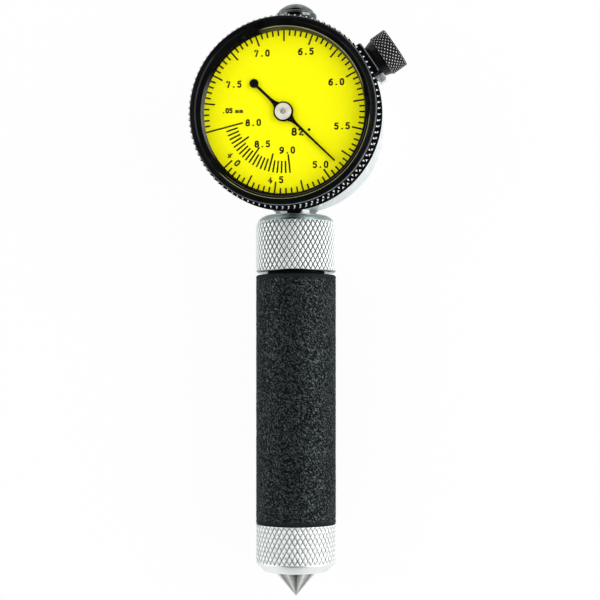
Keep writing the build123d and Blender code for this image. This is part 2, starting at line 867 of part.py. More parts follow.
# The first wheel, on the first arbor
with BuildPart() as rack_wheel:
    with BuildSketch(level(wheel_z, arbor_x, arbor_y)):
        with BuildLine():
            Polyline(*tooth_points(wheel_teeth, wheel_module, tooth_share, mesh_angle), close=True)
        make_face()
    extrude(amount=wheel_t)
    with BuildSketch(level(wheel_z + wheel_t, arbor_x, arbor_y)):
        Circle(hub_r)
    extrude(amount=hub_t)
    with BuildSketch(level(wheel_z, arbor_x, arbor_y)):
        Circle(arbor_r + fixed_gap)
        with PolarLocations(wheel_hole_ring, wheel_holes):
            Circle(wheel_hole_r)
    extrude(amount=wheel_t + hub_t, mode=Mode.SUBTRACT)
rack_wheel.part.label = "rack_wheel"
export_step(rack_wheel.part, "parts/rack_wheel.step")

# The pointer's arbor, with the centre pinion
with BuildPart() as centre_arbor:
    with BuildSketch(level(wheel_z - pinion_over)):
        with BuildLine():
            Polyline(*tooth_points(pinion_teeth, wheel_module, tooth_share, pinion_phase), close=True)
        make_face()
    extrude(amount=wheel_t + 2 * pinion_over)
    with BuildSketch(level(rear_z + rear_t + seat_gap)):
        Circle(arbor_r)
    extrude(amount=pointer_z + pointer_boss_t + hub_cap_t - rear_z - rear_t - seat_gap)
    with BuildSketch(level(rear_z + pivot_end_gap)):
        Circle(pivot_r)
    extrude(amount=rear_t)
centre_arbor.part.label = "centre_arbor"
export_step(centre_arbor.part, "parts/centre_arbor.step")

# The take-up arbor and its wheel, which the hairspring loads to remove backlash
with BuildPart() as takeup_arbor:
    with BuildSketch(level(rear_z + rear_t + seat_gap, takeup_x, takeup_y)):
        Circle(arbor_r)
    extrude(amount=front_z - rear_z - rear_t - 2 * seat_gap)
    with BuildSketch(level(rear_z + pivot_end_gap, takeup_x, takeup_y)):
        Circle(pivot_r)
    extrude(amount=front_z + front_t - rear_z - 2 * pivot_end_gap)
    with BuildSketch(level(hair_z - hair_hub_over, takeup_x, takeup_y)):
        Circle(hair_inner_r - hair_hub_gap)
    extrude(amount=hair_w + 2 * hair_hub_over)
takeup_arbor.part.label = "takeup_arbor"
export_step(takeup_arbor.part, "parts/takeup_arbor.step")

takeup_phase = takeup_gap + 180 / wheel_teeth
with BuildPart() as takeup_wheel:
    with BuildSketch(level(wheel_z, takeup_x, takeup_y)):
        with BuildLine():
            Polyline(*tooth_points(wheel_teeth, wheel_module, tooth_share, takeup_phase), close=True)
        make_face()
    extrude(amount=wheel_t)
    with BuildSketch(level(wheel_z + wheel_t, takeup_x, takeup_y)):
        Circle(hub_r)
    extrude(amount=hub_t)
    with BuildSketch(level(wheel_z, takeup_x, takeup_y)):
        Circle(arbor_r + fixed_gap)
        with PolarLocations(wheel_hole_ring, wheel_holes):
            Circle(wheel_hole_r)
    extrude(amount=wheel_t + hub_t, mode=Mode.SUBTRACT)
takeup_wheel.part.label = "takeup_wheel"
export_step(takeup_wheel.part, "parts/takeup_wheel.step")

# The hairspring, an even spiral strip that ends in a stud on the rear of the front plate
spiral_steps = round(hair_points * hair_turns)
spiral_inner = []
spiral_outer = []
for step in range(spiral_steps + 1):
    share = step / spiral_steps
    radius = hair_inner_r + (hair_outer_r - hair_inner_r) * share
    a = 2 * pi * hair_turns * share
    spiral_inner.append((radius * cos(a), radius * sin(a)))
    spiral_outer.append(((radius + hair_t) * cos(a), (radius + hair_t) * sin(a)))
with BuildPart() as hairspring:
    with BuildSketch(level(hair_z, takeup_x, takeup_y)):
        with BuildLine():
            Polyline(*spiral_inner, *reversed(spiral_outer), close=True)
        make_face()
    extrude(amount=hair_w)
hairspring.part.label = "hairspring"
export_step(hairspring.part, "parts/hairspring.step")

with BuildPart() as hairspring_stud:
    stud_x = takeup_x + hair_outer_r + hair_t + stud_r
    with BuildSketch(level(front_z, stud_x, takeup_y)):
        Circle(stud_r)
    extrude(amount=-(front_z - hair_z))
hairspring_stud.part.label = "hairspring_stud"
export_step(hairspring_stud.part, "parts/hairspring_stud.step")

# The pointer, one blanked piece on a turned boss
with BuildPart() as pointer:
    with BuildSketch(level(pointer_z, turn=pointer_angle)):
        with BuildLine():
            Polyline(
                (0, pointer_root_w / 2),
                (pointer_len, pointer_tip_w / 2),
                (pointer_len, -pointer_tip_w / 2),
                (0, -pointer_root_w / 2),
                (-pointer_tail, -pointer_tail_w / 2),
                (-pointer_tail, pointer_tail_w / 2),
                close=True,
            )
        make_face()
        with Locations((-pointer_tail, 0)):
            Circle(pointer_ball_r)
    extrude(amount=pointer_t)
    with BuildSketch(level(pointer_z)):
        Circle(pointer_boss_r)
    extrude(amount=pointer_boss_t)
    with BuildSketch(level(pointer_z)):
        Circle(arbor_r + fixed_gap)
    extrude(amount=pointer_boss_t, mode=Mode.SUBTRACT)
pointer.part.label = "pointer"
export_step(pointer.part, "parts/pointer.step")

# The bright cap on the pointer's boss, with a ring turned round the arbor's end
with BuildPart() as pointer_hub:
    with BuildSketch(level(pointer_z + pointer_boss_t)):
        Circle(hub_cap_r)
        Circle(arbor_r + fixed_gap, mode=Mode.SUBTRACT)
    extrude(amount=hub_cap_t)
    with BuildSketch(level(pointer_z + pointer_boss_t + hub_cap_t)):
        Circle(hub_ring_r + hub_ring_w)
        Circle(hub_ring_r, mode=Mode.SUBTRACT)
    extrude(amount=-hub_ring_depth, mode=Mode.SUBTRACT)
pointer_hub.part.label = "pointer_hub"
export_step(pointer_hub.part, "parts/pointer_hub.step")

# The bezel clamp's clip, a block that seats on the case's side under the bezel
clip_depth = clip_out_r - cavity_r
with BuildPart() as clamp_clip:
    with BuildSketch(level(clip_low_z)):
        with PolarLocations(clip_out_r - clip_depth / 2, 1, start_angle=clamp_angle):
            RectangleRounded(clip_depth, clip_w, clip_corner)
        Circle(case_r, mode=Mode.SUBTRACT)
    extrude(amount=clip_top_z - clip_low_z)
    with BuildSketch(Plane(origin=(0, dial_y, clamp_z), z_dir=clamp_dir)):
        Circle(clamp_shank_r + thread_gap)
    extrude(amount=2 * case_r, mode=Mode.SUBTRACT)
clamp_clip.part.label = "clamp_clip"
export_step(clamp_clip.part, "parts/clamp_clip.step")

# The small plated shoe at the clip's end
with BuildPart() as clamp_shoe:
    with BuildSketch(clamp_plane.offset(clip_w / 2)):
        with Locations((clip_out_r - shoe_t / 2 - shoe_inset, (shoe_low_z + shoe_top_z) / 2 - clamp_z)):
            RectangleRounded(shoe_t, shoe_top_z - shoe_low_z, shoe_corner)
    extrude(amount=shoe_w)
clamp_shoe.part.label = "clamp_shoe"
export_step(clamp_shoe.part, "parts/clamp_shoe.step")

# The thumb screw of the bezel clamp
head_low = clip_out_r + seat_gap + clamp_cone_t
with BuildPart() as clamp_screw:
    with BuildSketch(clamp_plane):
        with BuildLine():
            Polyline(
                (clamp_end_r, 0),
                (clamp_end_r, clamp_shank_r),
                (clip_out_r + seat_gap, clamp_shank_r),
                (clip_out_r + seat_gap, clamp_cone_r),
                (head_low, clamp_head_r - clamp_head_chamfer),
                (head_low + clamp_head_chamfer, clamp_head_r),
                (head_low + clamp_head_t - clamp_head_chamfer, clamp_head_r),
                (head_low + clamp_head_t, clamp_head_r - clamp_head_chamfer),
                (head_low + clamp_head_t, 0),
                close=True,
            )
        make_face()
    revolve(axis=clamp_axis)
clamp_screw.part.label = "clamp_screw"
export_step(clamp_screw.part, "parts/clamp_screw.step")
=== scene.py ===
# Countersink gauge: the finish of a dial gauge that lies on its back, seen from in front of its dial.
# All shapes are worked out in millimetres and become metres when a piece is made.

import json

import bpy
import numpy as np
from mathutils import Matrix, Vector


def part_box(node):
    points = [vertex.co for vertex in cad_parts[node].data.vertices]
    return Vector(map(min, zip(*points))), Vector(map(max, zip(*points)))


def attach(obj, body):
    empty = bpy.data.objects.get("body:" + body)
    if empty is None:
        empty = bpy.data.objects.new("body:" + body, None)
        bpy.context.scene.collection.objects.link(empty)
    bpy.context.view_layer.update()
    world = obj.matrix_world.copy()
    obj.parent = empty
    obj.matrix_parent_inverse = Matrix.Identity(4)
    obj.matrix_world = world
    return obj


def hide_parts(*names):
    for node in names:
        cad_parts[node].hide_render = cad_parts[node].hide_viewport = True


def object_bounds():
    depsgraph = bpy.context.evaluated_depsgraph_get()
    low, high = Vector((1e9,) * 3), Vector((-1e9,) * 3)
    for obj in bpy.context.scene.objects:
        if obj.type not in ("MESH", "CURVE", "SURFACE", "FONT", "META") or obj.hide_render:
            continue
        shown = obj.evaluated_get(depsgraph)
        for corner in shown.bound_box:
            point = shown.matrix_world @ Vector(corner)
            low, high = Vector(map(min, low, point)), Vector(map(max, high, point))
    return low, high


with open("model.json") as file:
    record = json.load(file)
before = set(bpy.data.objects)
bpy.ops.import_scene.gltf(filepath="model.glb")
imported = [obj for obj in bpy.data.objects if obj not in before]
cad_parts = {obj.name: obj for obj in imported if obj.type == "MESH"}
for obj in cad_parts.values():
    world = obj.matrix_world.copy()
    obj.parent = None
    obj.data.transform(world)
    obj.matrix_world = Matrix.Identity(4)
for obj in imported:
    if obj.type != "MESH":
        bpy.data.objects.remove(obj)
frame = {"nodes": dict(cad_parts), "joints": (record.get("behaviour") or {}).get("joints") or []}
cadLow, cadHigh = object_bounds()
perMetre = 1000.0
tiny = 1e-6  # nearer points count as one


def nodeBox(name):  # a CAD node's lowest and highest corner, in millimetres
    low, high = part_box(name)
    return np.array(low) * perMetre, np.array(high) * perMetre


# Axes that the turned pieces stand on: a point, the way along, and the side where a turn starts
dialLow, dialHigh = nodeBox("dial_plate")
dialY = (dialLow[1] + dialHigh[1]) / 2
clampJoint = next(joint for joint in frame["joints"] if joint["name"] == "clamp_screw_turn")
clampAlong = np.array(clampJoint["axis"], float)
barrelAxis = (np.zeros(3), np.array([0.0, 1.0, 0.0]), np.array([0.0, 0.0, 1.0]))
dialAxis = (np.array([0.0, dialY, 0.0]), np.array([0.0, 0.0, 1.0]), np.array([1.0, 0.0, 0.0]))
clampAxis = (
    np.array([0.0, dialY, clampJoint["pos_m"][2] * perMetre]),
    clampAlong / np.linalg.norm(clampAlong),
    np.array([0.0, 0.0, 1.0]),
)

# Camera

camera = {
    "distance": 340.0,  # from the barrel's axis
    "turn": 9.3,  # degrees to the right of the dial's own direction
    "eyeHeight": 46.6,  # along the barrel, from the anvil's face
    "focalPixels": 1462.0,
    "pictureSize": 600.0,
    "centreX": 296.0,  # where the lens points, in pixels of the picture
    "centreY": 370.0,
    "sensor": 36.0,
    "clip": (0.01, 20.0),  # metres
}


def placeFacing(name, data, degrees, distance, height):
    # A camera or a lamp that looks at the barrel's axis: distance * (sin turn, cos turn) away, in x and z.
    turn = np.radians(degrees)
    holder = bpy.data.objects.new(name, data)
    holder.location = np.array([distance * np.sin(turn), height, distance * np.cos(turn)]) / perMetre
    holder.rotation_euler = (0.0, turn, 0.0)
    bpy.context.scene.collection.objects.link(holder)
    return holder


def makeCamera():
    # The lens is focalPixels * sensor / pictureSize long, and its shift brings its middle to the right pixel.
    data = bpy.data.cameras.new("photoCamera")
    size = camera["pictureSize"]
    data.sensor_width = camera["sensor"]
    data.lens = camera["focalPixels"] * camera["sensor"] / size
    data.shift_x = (size / 2 - camera["centreX"]) / size
    data.shift_y = (camera["centreY"] - size / 2) / size
    data.clip_start, data.clip_end = camera["clip"]
    place = camera["turn"], camera["distance"], camera["eyeHeight"]
    bpy.context.scene.camera = placeFacing("photoCamera", data, *place)


makeCamera()
print("camera set")

# Surfaces


def softProfile(corners, steps=5):
    # Each corner is (radius, height, cut). The outline leaves the edge at a distance of cut before the
    # corner P, at A, and meets the next edge at B: (1 - s)^2 A + 2 s (1 - s) P + s^2 B.
    corner = np.array(corners, float)
    point, cut = corner[:, :2], corner[:, 2:3]
    back = np.roll(point, 1, axis=0) - point
    ahead = np.roll(point, -1, axis=0) - point
    start = point + cut * back / np.linalg.norm(back, axis=1, keepdims=True)
    end = point + cut * ahead / np.linalg.norm(ahead, axis=1, keepdims=True)
    s = np.linspace(0, 1, steps)[None, :, None]
    curve = (1 - s) ** 2 * start[:, None] + 2 * s * (1 - s) * point[:, None] + s**2 * end[:, None]
    outline = curve.reshape(-1, 2)
    apart = np.linalg.norm(np.diff(outline, axis=0), axis=1) > tiny
    return outline[np.concatenate([[True], apart])]


def turned(axis, outline, columns, cut=None):
    # Each row of the outline is (radius, height) and goes once round the axis:
    # origin + height * along + radius * (cos a * side + sin a * across). A cut gives what the radius
    # gains, and a tone: 1 on plain metal, and from 0 to 0.8 between a groove and a crest.
    origin, along, side = axis
    across = np.cross(along, side)
    angle = np.linspace(0, 2 * np.pi, columns, endpoint=False)[None, :]
    radius = outline[:, :1] * np.ones_like(angle)
    height = outline[:, 1:2] * np.ones_like(angle)
    tone = np.ones_like(radius)
    if cut is not None:
        gain, tone = cut(angle, height, radius)
        radius = radius + gain
    spoke = np.cos(angle)[..., None] * side + np.sin(angle)[..., None] * across
    return origin + height[..., None] * along + radius[..., None] * spoke, tone


def shell(points, tone=None, loopRows=False, capEnds=False):
    # A quad joins neighbouring rows and columns. A row that is one point becomes a pole of triangles.
    rows, columns = points.shape[:2]
    index = np.arange(rows * columns).reshape(rows, columns)
    pole = np.ptp(points, axis=1).max(axis=1) < tiny
    index[pole] = index[pole, :1]
    upper = index if loopRows else index[:-1]
    lower = np.roll(index, -1, axis=0) if loopRows else index[1:]
    corners = [upper, lower, np.roll(lower, -1, axis=1), np.roll(upper, -1, axis=1)]
    quads = np.stack(corners, axis=-1).reshape(-1, 4)
    atStart = quads[:, 0] == quads[:, 3]
    atEnd = quads[:, 1] == quads[:, 2]
    triangles = np.concatenate([quads[atStart][:, [0, 1, 2]], quads[atEnd][:, [0, 1, 3]]])
    quads = quads[~(atStart | atEnd)]
    if capEnds:
        ends = index[0], index[-1, ::-1]
        fans = [np.column_stack([np.full(columns - 2, end[0]), end[1:-1], end[2:]]) for end in ends]
        triangles = np.concatenate([triangles, *fans])
    tones = np.ones(rows * columns) if tone is None else tone.ravel()
    return points.reshape(-1, 3), quads, triangles, tones


def facingOut(points, quads, triangles):
    # The signed volume is the sum of v0 . (v1 x v2) over the triangles; below zero, faces turn round.
    halves = np.concatenate([quads[:, [0, 1, 2]], quads[:, [0, 2, 3]], triangles])
    a, b, c = (points[halves[:, k]] - points.mean(axis=0) for k in range(3))
    if np.einsum("ij,ij->i", a, np.cross(b, c)).sum() < 0:
        return quads[:, ::-1], triangles[:, ::-1]
    return quads, triangles


def makePiece(name, shells, body, finish, slot, standsFor=None, crease=30.0):
    # One mesh of all shells. Its role is the body that it rides on, its finish, its slot and the CAD node
    # that it stands for. The slot is not used.
    parts = []
    count = 0
    for cloud, fours, threes, tone in shells:
        fours, threes = facingOut(cloud, fours, threes)
        parts.append((cloud, fours + count, threes + count, tone))
        count += len(cloud)
    points, quads, triangles, tones = (np.concatenate(part) for part in zip(*parts))
    used, loops = np.unique(np.concatenate([quads.ravel(), triangles.ravel()]), return_inverse=True)
    sides = np.repeat([4, 3], [len(quads), len(triangles)])
    mesh = bpy.data.meshes.new(name)
    mesh.vertices.add(len(used))
    mesh.vertices.foreach_set("co", (points[used] / perMetre).astype(np.float32).ravel())
    mesh.loops.add(len(loops))
    mesh.loops.foreach_set("vertex_index", loops.ravel().astype(np.int32))
    mesh.polygons.add(len(sides))
    mesh.polygons.foreach_set("loop_start", (np.cumsum(sides) - sides).astype(np.int32))
    mesh.update(calc_edges=True)
    crest = mesh.attributes.new("crest", "FLOAT", "POINT")
    crest.data.foreach_set("value", tones[used].astype(np.float32))
    mesh.shade_smooth()
    mesh.set_sharp_from_angle(angle=np.radians(crease))
    mesh.materials.append(bpy.data.materials[finish])
    piece = bpy.data.objects.new(name, mesh)
    bpy.context.scene.collection.objects.link(piece)
    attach(piece, body)
    if standsFor:
        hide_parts(standsFor)


def turnPiece(name, axis, outline, columns, role, cut=None, hollow=True, crease=30.0):
    # The outline of a hollow piece is a closed ring, and that of a full one starts and ends on the axis.
    surface = turned(axis, outline, columns, cut)
    makePiece(name, [shell(*surface, loopRows=hollow)], *role, crease)


# Shader nodes


def setInputs(tree, node, inputs):
    # Each input gets its value, or a link where the value is another node's socket.
    for place, value in inputs.items():
        if isinstance(value, bpy.types.NodeSocket):
            tree.links.new(value, node.inputs[place])
        else:
            node.inputs[place].default_value = value


def addNode(tree, kind, inputs=None, operation=None):
    node = tree.nodes.new("ShaderNode" + kind)
    if operation:
        node.operation = operation
    setInputs(tree, node, inputs or {})
    return node


def addMath(tree, operation, first, second=None):
    inputs = {0: first} if second is None else {0: first, 1: second}
    return addNode(tree, "Math", inputs, operation).outputs[0]


def addTimes(tree, first, second):
    return addMath(tree, "MULTIPLY", first, second)


def addRange(tree, value, low, high, toLow=0.0, toHigh=1.0):
    inputs = {"Value": value, "From Min": low, "From Max": high, "To Min": toLow, "To Max": toHigh}
    node = addNode(tree, "MapRange", inputs)
    node.interpolation_type = "SMOOTHSTEP"
    return node.outputs["Result"]


def mixColours(tree, mask, *colours):
    node = tree.nodes.new("ShaderNodeMix")
    node.data_type = "RGBA"
    setInputs(tree, node, {"Factor": mask})
    for place, colour in zip((6, 7), colours):  # the places of the node's two colours; a number is a grey
        if not isinstance(colour, bpy.types.NodeSocket):
            colour = (*np.broadcast_to(colour, 3), 1.0)
        setInputs(tree, node, {place: colour})
    return node.outputs[2]


def mixShaders(tree, share, first, second):
    return addNode(tree, "MixShader", {0: share, 1: first, 2: second}).outputs[0]


def addBump(tree, height, strength, distance):
    return addNode(tree, "Bump", {"Height": height, "Strength": strength, "Distance": distance}).outputs[0]


def placeGroup(tree, group, **inputs):
    node = tree.nodes.new("ShaderNodeGroup")
    node.node_tree = group
    setInputs(tree, node, inputs)
    return node.outputs[0]


def emptyTree(owner):
    owner.use_nodes = True
    owner.node_tree.nodes.clear()
    return owner.node_tree


# Shader groups: each has inputs with first values, and puts out one mask


def newGroup(name, output, **inputs):
    group = bpy.data.node_groups.new(name, "ShaderNodeTree")
    for label, value in inputs.items():
        kind = "NodeSocketVector" if isinstance(value, tuple) else "NodeSocketFloat"
        group.interface.new_socket(label, in_out="INPUT", socket_type=kind).default_value = value
    group.interface.new_socket(output, in_out="OUTPUT", socket_type="NodeSocketFloat")
    return group, group.nodes.new("NodeGroupInput").outputs, group.nodes.new("NodeGroupOutput")


def makeGrainGroup():  # noise, sharpened round its middle
    group, given, out = newGroup("surfaceGrain", "Value", Coordinates=(0, 0, 0), Scale=1000.0, Softness=0.25)
    inputs = {"Vector": given["Coordinates"], "Scale": given["Scale"], "Detail": 3.0}
    noise = addNode(group, "TexNoise", inputs).outputs["Fac"]
    low = addMath(group, "SUBTRACT", 0.5, given["Softness"])
    high = addMath(group, "ADD", 0.5, given["Softness"])
    setInputs(group, out, {"Value": addRange(group, noise, low, high)})
    return group


def makeLatheGroup():  # fine turning marks: noise that reads only the distance from Z and the height
    group, given, out = newGroup("latheMarks", "Value", Coordinates=(0, 0, 0), Fineness=9000.0)
    x, y, z = addNode(group, "SeparateXYZ", {0: given["Coordinates"]}).outputs
    radius = addMath(group, "SQRT", addMath(group, "ADD", addTimes(group, x, x), addTimes(group, y, y)))
    place = addNode(group, "CombineXYZ", {0: radius, 1: z}).outputs[0]
    noise = addNode(group, "TexNoise", {"Vector": place, "Scale": given["Fineness"], "Detail": 2.0})
    setInputs(group, out, {"Value": noise.outputs["Fac"]})
    return group


def makeWearGroup():  # where edges turn sharply and a hand or a bench rubs them, broken up by noise
    group, given, out = newGroup("edgeWear", "Mask", Coordinates=(0, 0, 0), Radius=0.0002, Strength=6.0)
    bevel = addNode(group, "Bevel", {"Radius": given["Radius"]})
    bevel.samples = 4
    facing = addNode(group, "NewGeometry").outputs["Normal"]
    turn = addNode(group, "VectorMath", {0: bevel.outputs[0], 1: facing}, "DOT_PRODUCT").outputs["Value"]
    edge = addTimes(group, addMath(group, "SUBTRACT", 1.0, turn), given["Strength"])
    noise = addNode(group, "TexNoise", {"Vector": given["Coordinates"], "Scale": 900.0}).outputs["Fac"]
    rubbed = addMath(group, "MAXIMUM", addTimes(group, edge, noise), 0.0)
    setInputs(group, out, {"Mask": addMath(group, "MINIMUM", rubbed, 1.0)})
    return group


surfaceGrain = makeGrainGroup()
latheMarks = makeLatheGroup()
edgeWear = makeWearGroup()

# Finishes


def newMaterial(name, **inputs):
    material = bpy.data.materials.new(name)
    tree = emptyTree(material)
    shader = addNode(tree, "BsdfPrincipled", inputs)
    output = addNode(tree, "OutputMaterial", {"Surface": shader.outputs[0]})
    return tree, shader, output


def objectPlace(tree, centre=(0.0, 0.0, 0.0), turn=(0.0, 0.0, 0.0)):
    # Object coordinates, moved so that centre is the origin and turned so that a piece's axis is Z.
    read = addNode(tree, "TexCoord").outputs["Object"]
    moved = addNode(tree, "VectorMath", {0: read, 1: centre}, "SUBTRACT").outputs[0]
    return addNode(tree, "Mapping", {"Vector": moved, "Rotation": np.radians(turn)}).outputs[0]


def addGrain(tree, spot, scale, softness=0.3):
    return placeGroup(tree, surfaceGrain, Coordinates=spot, Scale=scale, Softness=softness)


def addWear(tree, spot, settings):
    radius, strength = settings["wearRadius"], settings["wear"]
    return placeGroup(tree, edgeWear, Coordinates=spot, Radius=radius, Strength=strength)


def readCrest(tree):  # the tone that a piece's mesh carries
    node = tree.nodes.new("ShaderNodeAttribute")
    node.attribute_name = "crest"
    return node.outputs["Fac"]


alongBarrel = {"turn": (90.0, 0.0, 0.0)}
alongDial = {"centre": (0.0, dialY / perMetre, 0.0)}
marksMiddle = (0.3, 0.7)  # nearly all lathe marks lie between these values
dustSoftness = 0.2
cloudSoftness = 0.4


def turnedLook(tree, settings):
    # What every turned metal has: its lathe marks, a cloudy tone, and where its edges are rubbed.
    spot = objectPlace(tree, **settings["place"])
    marks = placeGroup(tree, latheMarks, Coordinates=spot, Fineness=settings["fineness"])
    toned = mixColours(tree, addGrain(tree, spot, settings["cloud"]), settings["dark"], settings["light"])
    return marks, toned, addWear(tree, spot, settings)


def metalFinish(name, settings):
    # A turned metal: the marks show in its height and its roughness.
    tree, shader, _ = newMaterial(name, Metallic=1.0)
    marks, toned, wear = turnedLook(tree, settings)
    low, high = (settings["rough"] * share for share in roughShares)
    setInputs(tree, shader, {
        "Base Color": mixColours(tree, wear, toned, settings["edge"]),
        "Roughness": addRange(tree, marks, *marksMiddle, low, high),
        "Normal": addBump(tree, marks, settings["marks"], settings["markDepth"]),
    })


roughShares = (0.8, 1.25)  # of the roughness, in the marks and between them
plainMetal = {
    "place": alongBarrel, "fineness": 9000.0, "cloud": 900.0, "wearRadius": 0.0001, "wear": 1.0, "marks": 0.2,
    "markDepth": 0.00001,
}
metals = {  # what each has that plain metal hasn't
    "groundSteel": {
        "dark": (0.22, 0.24, 0.22), "light": (0.44, 0.46, 0.43), "edge": (0.75, 0.76, 0.74), "rough": 0.14,
        "fineness": 14000.0, "marks": 1.0, "markDepth": 0.0001,
    },
    # The stem's colours are kept dark: painted shade, where the stem shows the dark head around it.
    "polishedStem": {
        "dark": (0.16, 0.17, 0.17), "light": (0.26, 0.27, 0.27), "edge": 0.5, "rough": 0.07,
        "fineness": 8000.0, "cloud": 300.0, "marks": 0.08,
    },
    "satinCase": {
        "dark": (0.79, 0.83, 0.84), "light": (0.87, 0.90, 0.91), "edge": (0.95, 0.97, 0.98), "rough": 0.4,
        "place": alongDial, "fineness": 6500.0, "cloud": 350.0, "wearRadius": 0.0002, "wear": 3.0,
        "marks": 0.3, "markDepth": 0.00002,
    },
    "turnedBrass": {
        "dark": (0.55, 0.40, 0.17), "light": (0.72, 0.55, 0.27), "edge": (0.86, 0.72, 0.42), "rough": 0.3,
        "place": alongDial, "fineness": 7000.0, "cloud": 400.0, "wear": 3.0, "marks": 0.3,
        "markDepth": 0.00002,
    },
    "springWire": {
        "dark": (0.30, 0.31, 0.34), "light": (0.45, 0.46, 0.48), "edge": (0.6, 0.6, 0.62), "rough": 0.32,
    },
    "hubSilver": {
        "dark": (0.74, 0.68, 0.60), "light": (0.90, 0.85, 0.77), "edge": (0.97, 0.94, 0.88), "rough": 0.3,
        "place": alongDial, "wearRadius": 0.00008, "wear": 2.0, "marks": 0.4, "markDepth": 0.00002,
    },
    "platedShoe": {
        "dark": (0.72, 0.80, 0.78), "light": (0.88, 0.94, 0.92), "edge": (0.95, 0.97, 0.96), "rough": 0.62,
        "place": alongDial, "fineness": 3000.0, "cloud": 2200.0, "wearRadius": 0.00012, "wear": 3.0,
        "marks": 0.3, "markDepth": 0.00003,
    },
    "blackChrome": {
        "dark": (0.05, 0.055, 0.055), "light": (0.16, 0.175, 0.175), "edge": (0.5, 0.52, 0.52), "rough": 0.08,
        "fineness": 3000.0, "wearRadius": 0.00012, "wear": 2.0, "marks": 0.5, "markDepth": 0.00003,
    },
}
for name, settings in metals.items():
    metalFinish(name, {**plainMetal, **settings})


def knurlFinish(name, settings):
    # The crest value parts two metals: satin lozenges with grooves painted dark as shade, and the clean
    # turned ends.
    tree, shader, _ = newMaterial(name)
    marks, toned, wear = turnedLook(tree, settings)
    crest = readCrest(tree)

    def parted(onKnurl, onEnds):
        return addRange(tree, crest, *settings["parting"], onKnurl, onEnds)

    lozenge = mixColours(tree, addRange(tree, crest, *settings["grooves"]), settings["groove"], toned)
    ends = mixColours(tree, marks, settings["turnedDark"], settings["turnedLight"])
    ends = mixColours(tree, wear, ends, settings["edge"])
    rough = parted(settings["knurlRough"], settings["rough"])
    setInputs(tree, shader, {
        "Base Color": mixColours(tree, parted(0.0, 1.0), lozenge, ends),
        "Metallic": parted(settings["knurlMetal"], 1.0),
        "Roughness": addTimes(tree, rough, addRange(tree, marks, *marksMiddle, *knurlShares)),
        "Normal": addBump(tree, marks, settings["marks"], settings["markDepth"]),
    })


knurlShares = (0.85, 1.2)
plainKnurl = {
    **plainMetal, "fineness": 5200.0, "cloud": 700.0, "wearRadius": 0.00012, "wear": 1.5,
    "parting": (0.85, 0.98),
}
knurls = {  # grooves: the crest values between which a groove turns into a lozenge
    # The collar's turned ends, its shoulder foremost, are coloured dark: painted shade from the dark head
    # above them.
    "knurledChrome": {
        "dark": (0.76, 0.82, 0.80), "light": (0.86, 0.91, 0.90), "groove": (0.012, 0.016, 0.016),
        "grooves": (0.2, 0.72), "knurlMetal": 0.35, "knurlRough": 0.42, "turnedDark": (0.24, 0.29, 0.29),
        "turnedLight": (0.36, 0.41, 0.41), "edge": (0.80, 0.83, 0.83), "rough": 0.09,
    },
    "anvilChrome": {
        "dark": (0.78, 0.82, 0.80), "light": (0.88, 0.91, 0.90), "groove": (0.015, 0.02, 0.02),
        "grooves": (0.02, 0.78), "knurlMetal": 0.2, "knurlRough": 0.45, "turnedDark": (0.80, 0.84, 0.83),
        "turnedLight": (0.90, 0.93, 0.92), "edge": (0.90, 0.92, 0.92), "rough": 0.3,
    },
}
for name, settings in knurls.items():
    knurlFinish(name, {**plainKnurl, **settings})

# The crest value of a black piece is 3 on a painted glint, 2 on a painted sheen of bare-looking metal, 1 on
# the plain finish, 0.8 on the tip of a knurl (a painted highlight where it is pale), under 0.5 on the matt
# flanks, and -1 on painted olive reflection.
# Each step here is where a look starts and where it is full.
paintedGlintTone = 3.0
paintedSheenTone = 2.0
crestSteps = {
    "tips": (0.52, 0.76),
    "pastTips": (0.82, 0.95),
    "paintedSheen": (1.2, 1.9),
    "spot": (2.1, 2.9),
    "paintedOlive": (-0.2, -0.9),
    "coat": (0.75, 0.95),
    "smooth": (0.4, 0.7),
}
blackShares = {"paintedSheen": 0.55, "paintedOlive": 0.7, "dust": 1.5}  # least strength in the cloud; roughness under dust


def blackFinish(name, settings):
    # Black enamel or oxide: a faint cloud, fine dust in the roughness, and edges rubbed grey. By the crest
    # value it also gets painted light: pale knurl tips, a pale sheen, bright glints and an olive reflection.
    fixed = {"Coat Roughness": "coatRough", "Metallic": "metal", "Specular IOR Level": "specular"}
    tree, shader, _ = newMaterial(name, **{label: settings[key] for label, key in fixed.items()})
    spot = objectPlace(tree, **alongDial)
    crest = readCrest(tree)
    cloud = addGrain(tree, spot, settings["cloud"])
    dust = addGrain(tree, spot, settings["dust"], dustSoftness)

    def step(kind, low=0.0, high=1.0):
        return addRange(tree, crest, *crestSteps[kind], low, high)

    def clouded(kind, least):  # broken up, but never weaker than least
        return addTimes(tree, step(kind), addRange(tree, cloud, 0.0, 1.0, least, 1.0))

    # Four of these layers are painted light: pale knurl tips, a pale sheen, bright glints and an olive
    # reflection.
    layers = (
        ("edge", addWear(tree, spot, settings)),
        ("tips", addTimes(tree, step("tips"), step("pastTips", 1.0, 0.0))),
        ("paintedSheen", clouded("paintedSheen", blackShares["paintedSheen"])),
        ("spot", step("spot")),
        ("paintedOlive", clouded("paintedOlive", blackShares["paintedOlive"])),
    )
    toned = mixColours(tree, cloud, settings["dark"], settings["light"])
    for colour, mask in layers:
        toned = mixColours(tree, mask, toned, settings[colour])
    rough = step("smooth", settings["flankRough"], settings["rough"])
    setInputs(tree, shader, {
        "Base Color": toned,
        "Coat Weight": step("coat", 0.0, settings["coat"]),
        "Roughness": addTimes(tree, rough, addRange(tree, dust, 0.0, 1.0, 1.0, blackShares["dust"])),
        "Normal": addBump(tree, dust, settings["bump"], settings["bumpDepth"]),
    })


